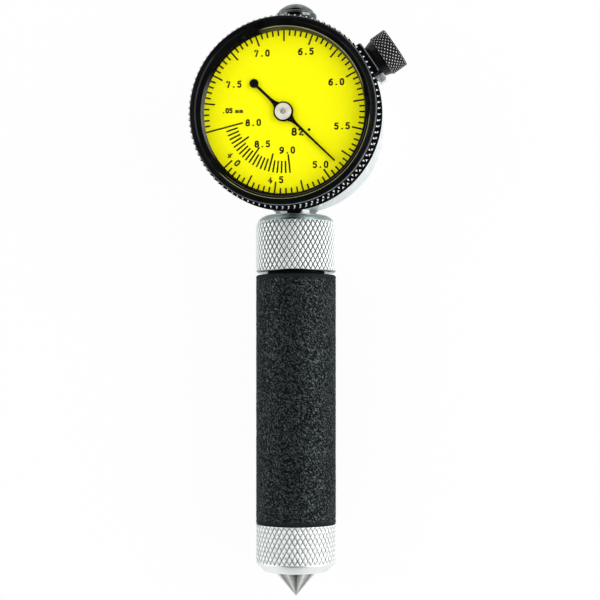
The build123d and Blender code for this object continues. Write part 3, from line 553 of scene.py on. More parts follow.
plainBlack = {
    "metal": 0.0, "coat": 0.0, "coatRough": 0.1, "flankRough": 0.4, "wear": 0.8, "bumpDepth": 0.00002,
}
blacks = {  # what each has that plain black hasn't
    "blackGloss": {
        "dark": 0.002, "light": (0.005, 0.006, 0.006), "edge": (0.012, 0.012, 0.013),
        "paintedSheen": (0.19, 0.21, 0.23), "paintedOlive": (0.34, 0.33, 0.16), "tips": 0.02,
        "spot": (0.9, 0.93, 0.93), "rough": 0.1, "specular": 0.0, "coat": 0.2, "coatRough": 0.08,
        "cloud": 300.0, "dust": 2600.0, "wearRadius": 0.00012, "bump": 0.05, "bumpDepth": 0.00001,
    },
    "blackSatin": {
        "dark": 0.001, "light": 0.003, "edge": 0.02,
        "paintedSheen": (0.2, 0.2, 0.21), "paintedOlive": (0.085, 0.085, 0.035), "tips": 0.002,
        "spot": 0.5, "rough": 0.5, "flankRough": 0.5, "specular": 0.05, "cloud": 500.0,
        "dust": 3200.0, "wearRadius": 0.0001, "bump": 0.12,
    },
    # The oxide's pale tips colour is a painted highlight on the tops of the thumb screw's knurl.
    "blackOxide": {
        "dark": 0.004, "light": (0.012, 0.012, 0.013), "edge": 0.35,
        "paintedSheen": (0.62, 0.63, 0.62), "paintedOlive": (0.3, 0.28, 0.1), "tips": (0.75, 0.76, 0.75),
        "spot": 0.8, "rough": 0.26, "specular": 0.2, "coatRough": 0.15, "metal": 0.3,
        "cloud": 700.0, "dust": 3500.0, "wearRadius": 0.00015, "wear": 1.5, "bump": 0.1,
    },
}
for name, settings in blacks.items():
    blackFinish(name, {**plainBlack, **settings})

coneSteel = {
    "dark": (0.07, 0.08, 0.07), "light": (0.86, 0.87, 0.84), "rough": (0.16, 0.26), "fineness": 14000.0,
    "marks": 0.8, "markDepth": 0.00005, "marked": 0.75,
}


def makeConeFinish():
    # Ground steel with painted reflection streaks along the cone: the crest value is 1 in a bright painted
    # streak, 0 in a dull one.
    tree, shader, _ = newMaterial("coneSteel", Metallic=1.0)
    spot = objectPlace(tree, **alongBarrel)
    marks = placeGroup(tree, latheMarks, Coordinates=spot, Fineness=coneSteel["fineness"])
    paintedStreak = addTimes(tree, readCrest(tree), addRange(tree, marks, *marksMiddle, coneSteel["marked"], 1.0))
    setInputs(tree, shader, {
        "Base Color": mixColours(tree, paintedStreak, coneSteel["dark"], coneSteel["light"]),
        "Roughness": addRange(tree, marks, *marksMiddle, *coneSteel["rough"]),
        "Normal": addBump(tree, marks, coneSteel["marks"], coneSteel["markDepth"]),
    })


granularBlack = {
    "dark": (0.002, 0.003, 0.0032), "light": (0.125, 0.155, 0.16), "tops": (0.27, 0.85), "cloud": 260.0,
    "cloudShares": (0.9, 1.0), "grain": 7000.0, "grainShares": (0.4, 1.0), "rough": (0.6, 0.3), "bump": 0.5,
    "bumpDepth": 0.00004, "specular": 0.05,
}


def makeBarrelFinish():
    # Black texture paint: the crest value is the height of each grain, whose top shines like dull metal.
    settings = granularBlack
    tree, shader, _ = newMaterial("granularBlack", **{"Specular IOR Level": settings["specular"]})
    spot = objectPlace(tree)
    grain = addGrain(tree, spot, settings["grain"], dustSoftness)
    cloud = addGrain(tree, spot, settings["cloud"], cloudSoftness)
    tops = addRange(tree, readCrest(tree), *settings["tops"])
    tops = addTimes(tree, tops, addRange(tree, cloud, 0.0, 1.0, *settings["cloudShares"]))
    tops = addTimes(tree, tops, addRange(tree, grain, 0.0, 1.0, *settings["grainShares"]))
    setInputs(tree, shader, {
        "Base Color": mixColours(tree, tops, settings["dark"], settings["light"]),
        "Metallic": tops,
        "Roughness": addRange(tree, tops, 0.0, 1.0, *settings["rough"]),
        "Normal": addBump(tree, grain, settings["bump"], settings["bumpDepth"]),
    })


dialColours = {
    "yellow": ((0.92, 0.87, 0.001), (0.95, 0.91, 0.004)), "rough": (0.6, 0.7), "cloud": 120.0,
    "ink": ((0.002, 0.002, 0.001), (0.006, 0.006, 0.003)), "inkRough": (0.45, 0.6), "inkGrain": 5000.0,
    "specular": 0.06, "grain": 4000.0, "bump": 0.04, "bumpDepth": 0.00001,
}


def makeDialFinishes():  # the plate is cloudy and finely grained, the ink has its own grain
    fixed = {"Specular IOR Level": dialColours["specular"]}
    tree, shader, _ = newMaterial("yellowDial", **fixed)
    spot = objectPlace(tree, **alongDial)
    cloud = addGrain(tree, spot, dialColours["cloud"], cloudSoftness)
    grain = addGrain(tree, spot, dialColours["grain"])
    setInputs(tree, shader, {
        "Base Color": mixColours(tree, cloud, *dialColours["yellow"]),
        "Roughness": addRange(tree, grain, 0.0, 1.0, *dialColours["rough"]),
        "Normal": addBump(tree, grain, dialColours["bump"], dialColours["bumpDepth"]),
    })
    tree, shader, _ = newMaterial("dialInk", **fixed)
    grain = addGrain(tree, objectPlace(tree, **alongDial), dialColours["inkGrain"])
    setInputs(tree, shader, {
        "Base Color": mixColours(tree, grain, *dialColours["ink"]),
        "Roughness": addRange(tree, grain, 0.0, 1.0, *dialColours["inkRough"]),
    })


clearCrystal = {"colour": (0.98, 0.99, 0.98, 1.0), "bend": 1.49, "film": 180.0, "filmRough": 0.03}


def makeCrystalFinish():  # clear, with a faint film; lamps reach the dial through it
    fixed = {"Transmission Weight": 1.0, "IOR": clearCrystal["bend"], "Base Color": clearCrystal["colour"]}
    tree, shader, output = newMaterial("clearCrystal", **fixed)
    film = addGrain(tree, objectPlace(tree, **alongDial), clearCrystal["film"])
    setInputs(tree, shader, {"Roughness": addRange(tree, film, 0.0, 1.0, 0.0, clearCrystal["filmRough"])})
    shadow = addNode(tree, "LightPath").outputs["Is Shadow Ray"]
    clear = addNode(tree, "BsdfTransparent").outputs[0]
    setInputs(tree, output, {"Surface": mixShaders(tree, shadow, shader.outputs[0], clear)})


makeConeFinish()
makeBarrelFinish()
makeDialFinishes()
makeCrystalFinish()
print("finishes made")

# Every CAD node gets its finish here; the pieces below stand for some of them

nodeFinishes = {
    "anvilChrome": "anvil",
    "blackChrome": "stem_cap",
    "blackGloss": "bezel",
    "blackOxide": "clamp_screw",
    "blackSatin": "crystal_ring pointer clamp_clip",
    "clearCrystal": "crystal",
    "coneSteel": "contact_point",
    "granularBlack": "barrel",
    "groundSteel": "plunger_rod rack_spindle guide_pin collet back_screws plate_screws "
    "rack_arbor centre_arbor takeup_arbor",
    "hubSilver": "pointer_hub",
    "knurledChrome": "clamp_collar",
    "platedShoe": "clamp_shoe",
    "polishedStem": "stem",
    "satinCase": "case case_back",
    "springWire": "return_spring bezel_spring hairspring",
    "turnedBrass": "rod_bush upper_bush dial_retainer lower_bridge rear_plate front_plate posts centre_bush "
    "rack_wheel takeup_wheel hairspring_stud",
    "yellowDial": "dial_plate",
}
for finish, names in nodeFinishes.items():
    for name in names.split():
        materials = frame["nodes"][name].data.materials
        materials.clear()
        materials.append(bpy.data.materials[finish])
print("nodes dressed")

# Knurls

crestTone = 0.8  # on the tops of a knurl; plain metal has 1


def diamondKnurl(settings):
    # Two families of grooves cross, where u and v = count * a / 2 pi +- (height - low) / pitch are whole
    # numbers. The wave is 0 in a groove and 1 a flank away, and the surface follows the lower wave. The tone
    # is painted light and shade: the flank that falls along the axis is painted lighter by its share, and the
    # painted groove shade lifts along each groove by a share of the other wave, so it stays darkest at
    # crossings.
    def cut(angle, height, radius):
        around = settings["count"] * angle / (2 * np.pi)
        climb = (height - settings["low"]) / settings["pitch"]
        offs = [u - np.round(u) for u in (around + climb, around - climb)]
        crest = np.minimum(2 * np.minimum(*np.abs(offs)) / settings["flank"], 1.0)
        falling = np.where(np.abs(offs[0]) < np.abs(offs[1]), offs[0] < 0, offs[1] > 0)
        tone = crest + falling * settings["paintedFlankLight"] * (1 - crest)
        tone = tone + settings["paintedGrooveLift"] * 2 * np.maximum(*np.abs(offs)) * (1 - tone)
        inside = (height > settings["low"]) & (height < settings["high"]) & (radius > settings["floor"])
        return settings["depth"] * (crest - 1) * inside, np.where(inside, crestTone * tone, 1.0)

    return cut


def knurlRows(settings):  # heights of the rows, a whole number of them to each diamond
    pitch, perDiamond = settings["pitch"], settings["perDiamond"]
    count = int((settings["high"] - settings["low"]) / pitch * perDiamond)
    return settings["low"] + np.arange(1, count) * pitch / perDiamond


def column(radius, heights):  # rows of an outline that all have one radius
    return np.column_stack([np.full(len(heights), radius), heights])


lead = 0.3  # an outline's last corner, which is left out again, lies this far past the one before

# Clamp collar

collarLow, collarHigh = nodeBox("clamp_collar")
collar = {
    "radius": collarHigh[0],
    "bevel": 0.35,
    "low": collarLow[1] + 0.4,
    "high": collarHigh[1] - 1.78,
    "floor": 8.0,
    "count": 48,
    "pitch": 2.04,
    "perDiamond": 12,
    "depth": 0.2,
    "flank": 0.36,
    "paintedFlankLight": 0.0,
    "paintedGrooveLift": 0.0,
    "shoulder": 3.0,
    "shoulderRows": 14,
    "sunk": 0.25,
    "turnedStep": 0.09,
    "hole": 5.1,
    "holeBevel": 0.2,
    "lip": 1.1,
    "thread": 6.7,
    "threadTop": 5.0,
    "throat": 5.45,
    "columns": 576,
}


def makeCollar():
    # The grip is a cylinder whose upper end rounds off: (middle, level) + bend * (cos a, sin a). The knurl
    # runs on to where the rounding is turned clean, a step lower.
    low, high = collarLow[1], collarHigh[1] - collar["sunk"]
    radius, bend = collar["radius"], collar["shoulder"]
    middle, level = radius - bend, high - bend
    rows = knurlRows(collar)
    rise = np.clip(rows - level, 0, None)
    grip = np.column_stack([middle + np.sqrt(bend**2 - rise**2), rows])
    turn = np.linspace(np.arcsin((collar["high"] - level) / bend), np.pi / 2, collar["shoulderRows"])
    clean = bend - collar["turnedStep"]
    shoulder = np.column_stack([middle + clean * np.cos(turn), level + bend * np.sin(turn)])
    below = softProfile([
        (collar["thread"], high - collar["threadTop"], 0), (collar["thread"], low, 0.2),
        (radius - collar["bevel"], low, 0.1), (radius, low + collar["bevel"], 0.1),
        (radius, collar["low"] + lead, 0),
    ])[:-1]
    hole, bevel, lip = collar["hole"], collar["holeBevel"], high - collar["lip"]
    throat = np.array([(hole + bevel, high), (hole, high - bevel), (hole, lip), (collar["throat"], lip)])
    outline = np.concatenate([below, grip, shoulder, throat])
    role = "collar", "knurledChrome", "knurled_steel", "clamp_collar"
    turnPiece("knurledCollar", barrelAxis, outline, collar["columns"], role, diamondKnurl(collar))


makeCollar()

# Anvil

anvilLow, anvilHigh = nodeBox("anvil")
anvil = {
    "radius": anvilHigh[0],
    "chamfer": 2.0,
    "low": anvilLow[1] + 2.1,
    "high": anvilHigh[1] - 0.02,
    "floor": 9.0,
    "count": 48,
    "pitch": 2.15,
    "perDiamond": 12,
    "depth": 0.16,
    "flank": 0.98,
    "paintedFlankLight": 0.85,
    "paintedGrooveLift": 0.25,
    "bore": 5.1,
    "neck": 6.66,
    "seat": 3.0,
    "columns": 576,
}


def makeAnvil():
    # A cylinder that the knurl cuts into, chamfered at its lower end, with a bore that widens at the seat.
    low, high, radius = anvilLow[1], anvilHigh[1], anvil["radius"]
    seat, edge = low + anvil["seat"], low + anvil["chamfer"]
    below = softProfile([
        (anvil["neck"], high, 0), (anvil["neck"], seat, 0), (anvil["bore"], seat, 0),
        (anvil["bore"], low, 0.2), (radius - anvil["chamfer"], low, 0.3), (radius, edge, 0.1),
        (radius, edge + lead, 0),
    ])[:-1]
    outline = np.concatenate([below, column(radius, knurlRows(anvil)), [(radius, high)]])
    role = "barrel", "anvilChrome", "knurled_steel", "anvil"
    turnPiece("knurledAnvil", barrelAxis, outline, anvil["columns"], role, diamondKnurl(anvil))


makeAnvil()
print("knurled collar and anvil made")

# Barrel

barrelLow, barrelHigh = nodeBox("barrel")
barrel = {
    "radius": barrelHigh[0],
    "low": anvilHigh[1],
    "high": collarLow[1] - 0.6,
    "corner": 0.65,
    "neck": 6.65,
    "neckRows": 60,
    "bore": 5.1,
    "stemBore": 4.8,
    "stemSeat": 60.0,
    "threadPitch": 0.75,
    "threadDepth": 0.25,
    "plainEnd": 0.05,
    "grainSize": 0.21,
    "grainHeight": 0.04,
    "grainLimit": 2,
    "tone": 0.4,
    "toneRise": 0.2,
    "fadeRows": 4,
    "seed": 11,
}


def makeBarrel():
    radius, low, high, end = barrel["radius"], barrel["low"], barrel["high"], barrelHigh[1]
    corner, neck, bore, seat = barrel["corner"], barrel["neck"], barrel["bore"], barrel["stemSeat"]
    columns = int(2 * np.pi * radius / barrel["grainSize"])
    count = int((high - low) / barrel["grainSize"])
    foot = softProfile([
        (bore, barrelLow[1], 0), (neck, barrelLow[1], 0), (neck, low, 0), (radius, low, corner),
        (radius, low + 2 * corner, 0),
    ])[:-1]
    body = column(radius, np.linspace(low + corner, high - corner, count))
    top = softProfile([(radius, high - 2 * corner, 0), (radius, high, corner), (neck, high, 0)])[1:-1]
    screwed = column(neck, np.linspace(high, end, barrel["neckRows"]))
    inside = np.array([(barrel["stemBore"], end), (barrel["stemBore"], seat), (bore, seat)])
    outline = np.concatenate([foot, body, top, screwed, inside])
    grained = slice(len(foot), len(foot) + count)
    random = np.random.default_rng(barrel["seed"])
    field = np.zeros((len(outline), columns))
    field[grained] = random.normal(size=(count, columns))
    rows = np.arange(count)
    field[grained] *= np.clip(np.minimum(rows, rows[::-1]) / barrel["fadeRows"], 0, 1)[:, None]
    grain = np.clip(field, -barrel["grainLimit"], barrel["grainLimit"])

    def cut(angle, height, radius):
        # Grains: seeded noise on the body. Thread: a triangle wave of height / pitch - a / 2 pi on the neck.
        grains = barrel["grainHeight"] * (grain - barrel["grainLimit"]) * (field != 0)
        turn = height / barrel["threadPitch"] - angle / (2 * np.pi)
        thread = -barrel["threadDepth"] * 2 * np.abs(turn - np.round(turn))
        plain = barrel["plainEnd"]
        onNeck = (height > high + plain) & (height < end - plain) & (np.abs(radius - neck) < tiny)
        return grains + thread * onNeck, barrel["tone"] + barrel["toneRise"] * grain

    role = "barrel", "granularBlack", "black_texture", "barrel"
    turnPiece("granularBarrel", barrelAxis, outline, columns, role, cut, crease=60.0)


makeBarrel()
print("barrel made")

# Cone, stem and cap

pointLow, pointHigh = nodeBox("contact_point")
cone = {
    "radius": pointHigh[0],
    "halfAngle": 41.0,
    "tipRadius": 0.05,
    "tipHeight": 0.02,
    "land": 1.6,
    "shank": 2.0,
    "reach": 0.35,  # the tip stands out this much further than the rest position
    "columns": 240,
    # The streaks are painted reflection: bands of bright and dark colour along the cone's generators.
    "paintedStreaks": ((8, 9.3, 0.7), (23, 40.0, 0.2), (41, 10.0, 0.2)),  # how many, from where, how strong
}


def makeCone():
    tip, top, radius, shank = pointLow[1] - cone["reach"], pointHigh[1], cone["radius"], cone["shank"]
    shoulder = tip + radius / np.tan(np.radians(cone["halfAngle"]))
    back = shoulder + cone["land"]
    outline = softProfile([
        (0, tip, 0), (cone["tipRadius"], tip + cone["tipHeight"], 0), (radius, shoulder, 0.15),
        (radius, back, 0), (shank, back, 0), (shank, top, 0), (0, top, 0),
    ])

    # Painted reflection streaks: the tone is set by the angle round the cone.
    def paintedStreaks(angle, height, radius):  # 0.5 less the sum of strength * cos(count * (a - from)) / 2
        tone = 0.5 + 0 * radius
        for count, start, strength in cone["paintedStreaks"]:
            tone = tone - 0.5 * strength * np.cos(count * (angle - np.radians(start)))
        return 0 * radius, np.clip(tone, 0, 1)

    role = "plunger", "coneSteel", "ground_steel", "contact_point"
    turnPiece("measuringCone", barrelAxis, outline, cone["columns"], role, paintedStreaks, hollow=False)


stemLow, stemHigh = nodeBox("stem")
stem = {"radius": stemHigh[0], "bore": 2.42, "bevel": 0.4, "columns": 160}


def makeStem():
    # A tube whose lower outer edge is rounded.
    bore, radius, low, high = stem["bore"], stem["radius"], stemLow[1], stemHigh[1]
    outline = softProfile([(bore, low, 0), (radius, low, stem["bevel"]), (radius, high, 0), (bore, high, 0)])
    role = "head", "polishedStem", "bright_steel", "stem"
    turnPiece("polishedStem", barrelAxis, outline, stem["columns"], role)


capLow, capHigh = nodeBox("stem_cap")
cap = {
    "radius": capHigh[0],
    "neck": 3.6,
    "neckTop": 5.8,
    "side": 0.65,
    "dome": 2.7,
    "domeRows": 72,
    "bore": 2.42,
    "boreTop": 8.55,
    "rings": ((4.35, 0.16), (3.1, 0.06)),  # a groove and a fine line in the dome: radius and depth
    "ringWidth": 0.16,
    "columns": 160,
}


def makeCap():
    base, radius, dome, bore, neck = capLow[1], cap["radius"], cap["dome"], cap["bore"], cap["neck"]
    shoulder, floor = base + cap["neckTop"], base + cap["boreTop"]
    sphere = (radius**2 + dome**2) / (2 * dome)  # the radius of a dome of that rise on that base
    sweep = np.linspace(np.arcsin(radius / sphere), 0, cap["domeRows"])
    top = np.column_stack([sphere * np.sin(sweep), capHigh[1] - sphere * (1 - np.cos(sweep))])
    for place, depth in cap["rings"]:  # turned into the dome: depth * e^-((r - place) / width)^2
        top[:, 1] -= depth * np.exp(-(((top[:, 0] - place) / cap["ringWidth"]) ** 2))
    lower = softProfile([
        (0, floor, 0), (bore, floor, 0), (bore, base, 0), (neck, base, 0), (neck, shoulder, 0),
        (radius, shoulder, 0.4), (radius, shoulder + cap["side"], 0),
    ])
    outline = np.concatenate([lower, top])
    role = "head", "blackChrome", "black_gloss", "stem_cap"
    turnPiece("domedCap", barrelAxis, outline, cap["columns"], role, hollow=False, crease=40.0)


makeCone()
makeStem()
makeCap()
print("cone, stem and cap made")

# Bezel

bezelLow, bezelHigh = nodeBox("bezel")
bezel = {
    "bore": 19.06,
    "rim": (20.85, 19.08),  # the flange: its outer corner, its crown and its inner edge, as radius and height
    "crown": ((20.55, 19.42), (20.12, 19.5), (19.76, 19.44)),
    "inner": (19.43, 19.12),
    "lip": (18.42, 18.86),
    "lipFoot": 18.7,
    "corner": 0.12,
    "ringCorner": 0.02,
    "innerCorner": 0.03,
    "lipCorner": 0.015,
    "ringWidth": 0.05,
    "ringDepth": 0.03,
    # From this radius the rim gets a painted highlight: a pale line of colour that looks like metal rubbed
    # bare.
    "rubbed": 20.72,  # the rim is rubbed to bare metal from this radius
    # These rings are painted reflection: olive colour round one side of the flange.
    "paintedOlive": (  # rings rubbed to brass: from, to, how much, and round which angle and how far to each side
        (19.34, 19.47, 2.0, 290.0, 70.0), (18.86, 18.93, 1.5, 290.0, 70.0), (18.44, 18.62, 2.0, 60.0, 50.0),
    ),
    "fade": 0.02,
    "bandRise": 2.6,
    "bandTop": 18.25,
    "bandRows": 24,
    "skirt": (21.0, 21.42),  # the plain ring behind the teeth widens from its back edge
    "root": 20.9,
    "chamfer": 0.45,
    "teeth": 100,
    "toothPower": 0.8,
    "toothTone": 0.4,
    "perTooth": 10,
    # Painted glints: bright colour at each gap's back end and on each tooth's front tip.
    "gapPaintedGlint": (13.5, 1.1, 0.6),  # height of its middle, half its length, its width as a share of a tooth
    "tipPaintedGlint": (18.1, 0.4, 0.35),
}
litEdge = 0.3
slack = 0.01


# Where painted light lies round a ring, strongest at the middle angle.
def litShare(angle, middle, half):
    # 1 round the middle angle and 0 elsewhere: 0.5 + (cos(a - middle) - cos half) / litEdge
    past = np.cos(angle - np.radians(middle)) - np.cos(np.radians(half))
    return np.clip(0.5 + past / litEdge, 0, 1)


def toothCut(angle, height, radius):
    # Between the root and the outline a tooth keeps (0.5 + 0.5 cos pi d)^toothPower, d from 0 on its middle
    # to 1 in the gap. A painted glint, a bright spot of colour, lies where its distance across / width +
    # |height - middle| / half < 1.
    around = bezel["teeth"] * angle / (2 * np.pi)
    across = 2 * np.abs(around - np.round(around))
    kept = (0.5 + 0.5 * np.cos(np.pi * across)) ** bezel["toothPower"]
    over = np.clip(radius - bezel["root"], 0, None) * (height > bezelLow[2] + bezel["bandRise"] - slack)
    upper = height > bezel["lip"][1] - 4 * slack
    tone = np.where(over > slack, bezel["toothTone"] * kept, 1.0)
    for (middle, half, width), off in ((bezel["gapPaintedGlint"], 1 - across), (bezel["tipPaintedGlint"], across)):
        glint = (over > slack) & (off / width + np.abs(height - middle) / half < 1)
        tone = np.where(glint, paintedGlintTone, tone)
    # A painted highlight: the rim's outer edge gets the pale sheen colour.
    tone = np.where(upper & (radius > bezel["rubbed"]) & (radius < bezel["root"]), paintedSheenTone, tone)
    # Painted reflection: olive colour on the flange's rings, round one side.
    for inner, outer, rubbed, middle, half in bezel["paintedOlive"]:
        paintedOliveTone = 1 - rubbed * litShare(angle, middle, half) + 0 * radius
        tone = np.where(upper & (radius > inner - slack / 10) & (radius < outer + slack / 10), paintedOliveTone, tone)
    return over * (kept - 1), tone


def makeBezel():
    # One ring: the band of teeth, the crowned flange in front of it, the lip, the bore and the skirt behind.
    low, tip, bandLow = bezelLow[2], bezelHigh[0], bezelLow[2] + bezel["bandRise"]
    root, skirt, bore, foot = (bezel[name] for name in ("root", "skirt", "bore", "lipFoot"))
    rim, inner, lip, fade, rubbed = (bezel[name] for name in ("rim", "inner", "lip", "fade", "rubbed"))
    bandTop, chamfer, half = bezel["bandTop"], bezel["chamfer"], (root + tip) / 2
    band = np.concatenate([
        [(root, bandLow), (half, bandLow + chamfer / 4)],
        column(tip, np.linspace(bandLow + chamfer, bandTop - chamfer, bezel["bandRows"])),
        [(half, bandTop - chamfer / 4), (root, bandTop)],
    ])
    crown = []
    for radius, height in bezel["crown"]:
        crown.append((radius + bezel["ringWidth"], height, bezel["ringCorner"]))
        crown.append((radius, height - bezel["ringDepth"], 0))
        crown.append((radius - bezel["ringWidth"], height, bezel["ringCorner"]))
    (near, far), (nearLip, farLip), (lipStart, lipEnd) = [ring[:2] for ring in bezel["paintedOlive"]]
    slope = np.array([lip, inner, crown[-1][:2], crown[0][:2], rim])

    def onSlope(*radii):  # points of the flange between its corners, where a tone starts or ends
        return [(radius, np.interp(radius, slope[:, 0], slope[:, 1]), 0) for radius in radii]

    upper = softProfile([
        (root, bandTop, 0), (rim[0], bandTop + 0.05, 0), (*rim, bezel["corner"]),
        *onSlope(rubbed, rubbed - fade), *crown, *onSlope(far + fade, far), (*inner, bezel["innerCorner"]),
        *onSlope(near, near - fade, farLip + fade, farLip, nearLip, nearLip - fade),
        *onSlope(lipEnd + fade, lipEnd, lipStart), (*lip, bezel["lipCorner"]), (lip[0], foot, 0),
        (bore, foot, 0), (bore, low, 0), (skirt[0], low, 0.15), (skirt[1], bandLow - 0.4, 0.1),
        (skirt[1], bandLow - 0.1, 0.05), (root, bandLow - 0.05, 0),
    ], steps=4)[1:]
    outline = np.concatenate([band, upper])
    columns = bezel["teeth"] * bezel["perTooth"]
    role = "bezel", "blackGloss", "black_gloss", "bezel"
    turnPiece("bezelRing", dialAxis, outline, columns, role, toothCut, crease=35.0)


makeBezel()

rehaut = {
    "outer": 19.0, "lowInner": 18.02, "highInner": 18.48, "columns": 240, "paintedOliveSide": (10.0, 100.0),
    "paintedStreak": (183.0, 22.0),
}


def makeRehaut():  # the black ring between the dial and the crystal
    (low, high), outer = (corner[2] for corner in nodeBox("crystal_ring")), rehaut["outer"]
    outline = softProfile([
        (rehaut["lowInner"], low, 0), (outer, low, 0), (outer, high, 0), (rehaut["highInner"], high, 0.05),
    ])

    # Painted reflection: olive colour over one half of the ring and one pale painted streak, black elsewhere.
    def wallTone(angle, height, radius):  # olive over the lit half, black elsewhere, with one pale streak
        lit, pale = (litShare(angle, *rehaut[name]) for name in ("paintedOliveSide", "paintedStreak"))
        return 0 * radius, 1 - 2 * lit + pale + 0 * radius

    role = "bezel", "blackSatin", "black_gloss", "crystal_ring"
    turnPiece("spacerRing", dialAxis, outline, rehaut["columns"], role, wallTone)


makeRehaut()
print("bezel made")

# Dial print: plain numbers and marks, a thin film of ink on the dial plate

scale = {
    "start": 222.0,  # degrees, where 4.0 stands
    "low": 4.0,
    "degreesPerMm": 360.0 / 2.5 / 2 / np.tan(np.radians(cone["halfAngle"])),  # a turn is 2.5 mm of travel
    "step": 0.05,
    "outerSteps": 80,
    "steps": 100,
    "longEvery": 5,
    "rim": 18.36,
    "ticks": (16.85, 15.65),  # where the short ones and the long ones end
    "innerRim": 13.55,
    "innerTicks": (10.85, 9.45),
    "tickWidth": 0.36,
    "film": 0.02,
    "sunk": 0.005,
    "roundFrom": 0.08,
    "roundRows": 6,
    "numberRadius": 15.2,
    "digitHeight": 1.6,
    "stroke": 0.36,
    "advance": 0.78,
}


def scaleAngle(value):  # start + (value - low) * degreesPerMm
    return np.radians(scale["start"] + (value - scale["low"]) * scale["degreesPerMm"])


def polar(radius, angle):
    return np.stack([radius * np.cos(angle), radius * np.sin(angle)], axis=-1)


def arc(centreX, centreY, radiusX, radiusY, start=0, stop=360, count=25, power=1.0):
    # A stretch of a rounded loop: x = cx + rx * cos^power, y = cy + ry * sin^power, signs kept.
    ring = polar(1.0, np.radians(np.linspace(start, stop, count)))
    return (centreX, centreY) + np.sign(ring) * np.abs(ring) ** power * (radiusX, radiusY)


def inkStroke(path, width, roundEnds=True):
    # A flat band carried along the path: its half width follows sqrt(h^2 - e^2) past a round end.
    path = np.asarray(path, float)
    closed = len(path) > 3 and np.linalg.norm(path[0] - path[-1]) < tiny
    half = width / 2
    halves = np.full(len(path), half)
    if roundEnds and not closed:
        bend = np.linspace(scale["roundFrom"], np.pi / 2, scale["roundRows"])[:-1]
        wide = half * np.sin(bend)
        for end, near in ((0, 1), (-1, -2)):
            away = (path[end] - path[near]) / np.linalg.norm(path[end] - path[near])
            extra = path[end] + half * np.cos(bend)[:, None] * away
            path = np.concatenate([extra, path] if end == 0 else [path, extra[::-1]])
            halves = np.concatenate([wide, halves] if end == 0 else [halves, wide[::-1]])
    along = np.gradient(path, axis=0)
    if closed:
        along[0] = along[-1] = path[1] - path[-2]
    along = along / np.linalg.norm(along, axis=1, keepdims=True)
    aside = np.column_stack([-along[:, 1], along[:, 0]]) * halves[:, None]
    left, right = path + aside, path - aside
    low, high = dialHigh[2] - scale["sunk"], dialHigh[2] + scale["film"]
    flat = np.stack([left, right, right, left], axis=1)
    height = np.tile([high, high, low, low], (len(path), 1))
    grid = np.concatenate([flat, height[..., None]], axis=-1) + dialAxis[0]
    if closed:
        return shell(grid[:-1], loopRows=True)
    return shell(grid, capEnds=True)


figureMiddle = np.array([0.3, 0.5])


def makeGlyphs():  # plain figures in a box that is 1 high; each is a list of strokes
    bowl = arc(0.30, 0.29, 0.28, 0.29, power=0.85)
    sixStem = np.concatenate([arc(0.52, 0.32, 0.50, 0.68, 180, 98, 10), [(0.54, 0.97)]])
    neck = arc(0.30, 0.73, 0.26, 0.27, 170, -35, 14)
    belly = arc(0.28, 0.31, 0.28, 0.31, 118, -140, 18, 0.9)
    arch = np.concatenate([arc(0.19, 0.30, 0.15, 0.22, 180, 0, 9), [(0.34, 0.0)]])
    return {
        "0": [arc(0.30, 0.50, 0.27, 0.50, count=33, power=0.8)],
        "2": [np.concatenate([neck, [(0.04, 0.0), (0.58, 0.0)]])],
        "4": [np.array([(0.42, 0.0), (0.42, 1.0), (0.02, 0.30), (0.60, 0.30)])],
        "5": [np.concatenate([[(0.54, 1.0), (0.09, 1.0), (0.06, 0.56)], belly])],
        "6": [bowl, sixStem],
        "7": [np.array([(0.03, 0.88), (0.03, 1.0), (0.57, 1.0), (0.24, 0.0)])],
        "8": [arc(0.30, 0.76, 0.23, 0.24, power=0.9), arc(0.30, 0.26, 0.28, 0.26, power=0.9)],
        "9": [2 * figureMiddle - bowl, 2 * figureMiddle - sixStem],
        ".": [np.array([(0.28, 0.02), (0.32, 0.02)])],
        "o": [arc(0.18, 0.84, 0.13, 0.13, count=17)],
        "m": [np.array([(0.04, 0.0), (0.04, 0.5)]), arch, arch + (0.30, 0.0)],
    }


glyphs = makeGlyphs()


def label(text, centre, height, turn=0.0, stroke=scale["stroke"], advance=scale["advance"]):
    # Each figure's strokes are scaled, set side by side about the centre, and turned together. The height
    # is that of the inked figure, so the strokes' middle lines are one stroke less high.
    cosine, sine = np.cos(turn), np.sin(turn)
    rotate = np.array([[cosine, sine], [-sine, cosine]])
    grids = []
    for place, figure in enumerate(text):
        offset = ((place - (len(text) - 1) / 2) * advance * height, 0.0)
        for path in glyphs[figure]:
            local = (path - figureMiddle) * (height - stroke) + offset
            grids.append(inkStroke(local @ rotate + centre, stroke))
    return grids


def makeScaleMarks():  # the outer scale, and from its last mark on the inner one
    grids = []
    for count in range(scale["steps"] + 1):
        outer = scale["rim"] if count <= scale["outerSteps"] else scale["innerRim"]
        ticks = scale["ticks"] if count < scale["outerSteps"] else scale["innerTicks"]
        ends = np.array([ticks[count % scale["longEvery"] == 0], outer])
        path = polar(ends, scaleAngle(scale["low"] + count * scale["step"]))
        grids.append(inkStroke(path, scale["tickWidth"], roundEnds=False))
    return grids


numbers = [  # figures, and where their middle stands on the dial
    ("7.5", (-11.25, 6.43)), ("7.0", (-4.9, 13.12)), ("6.5", (4.97, 13.2)), ("6.0", (11.74, 6.27)),
    ("5.5", (13.0, -3.46)), ("5.0", (8.22, -11.82)), ("4.5", (-1.83, -15.0)),
    ("8.0", (-6.85, -2.2)), ("8.5", (-4.8, -7.0)), ("9.0", (0.8, -8.5)),
]
smallPrint = [  # figures, middle, height, stroke and advance
    (".05", (-12.75, 0.6), 1.25, 0.32, 0.66), ("mm", (-10.1, 0.58), 1.2, 0.24, 0.8),
    ("82", (3.1, -4.45), 1.85, 0.42, 0.82), ("o", (5.85, -4.5), 1.6, 0.32, 0.8),
]


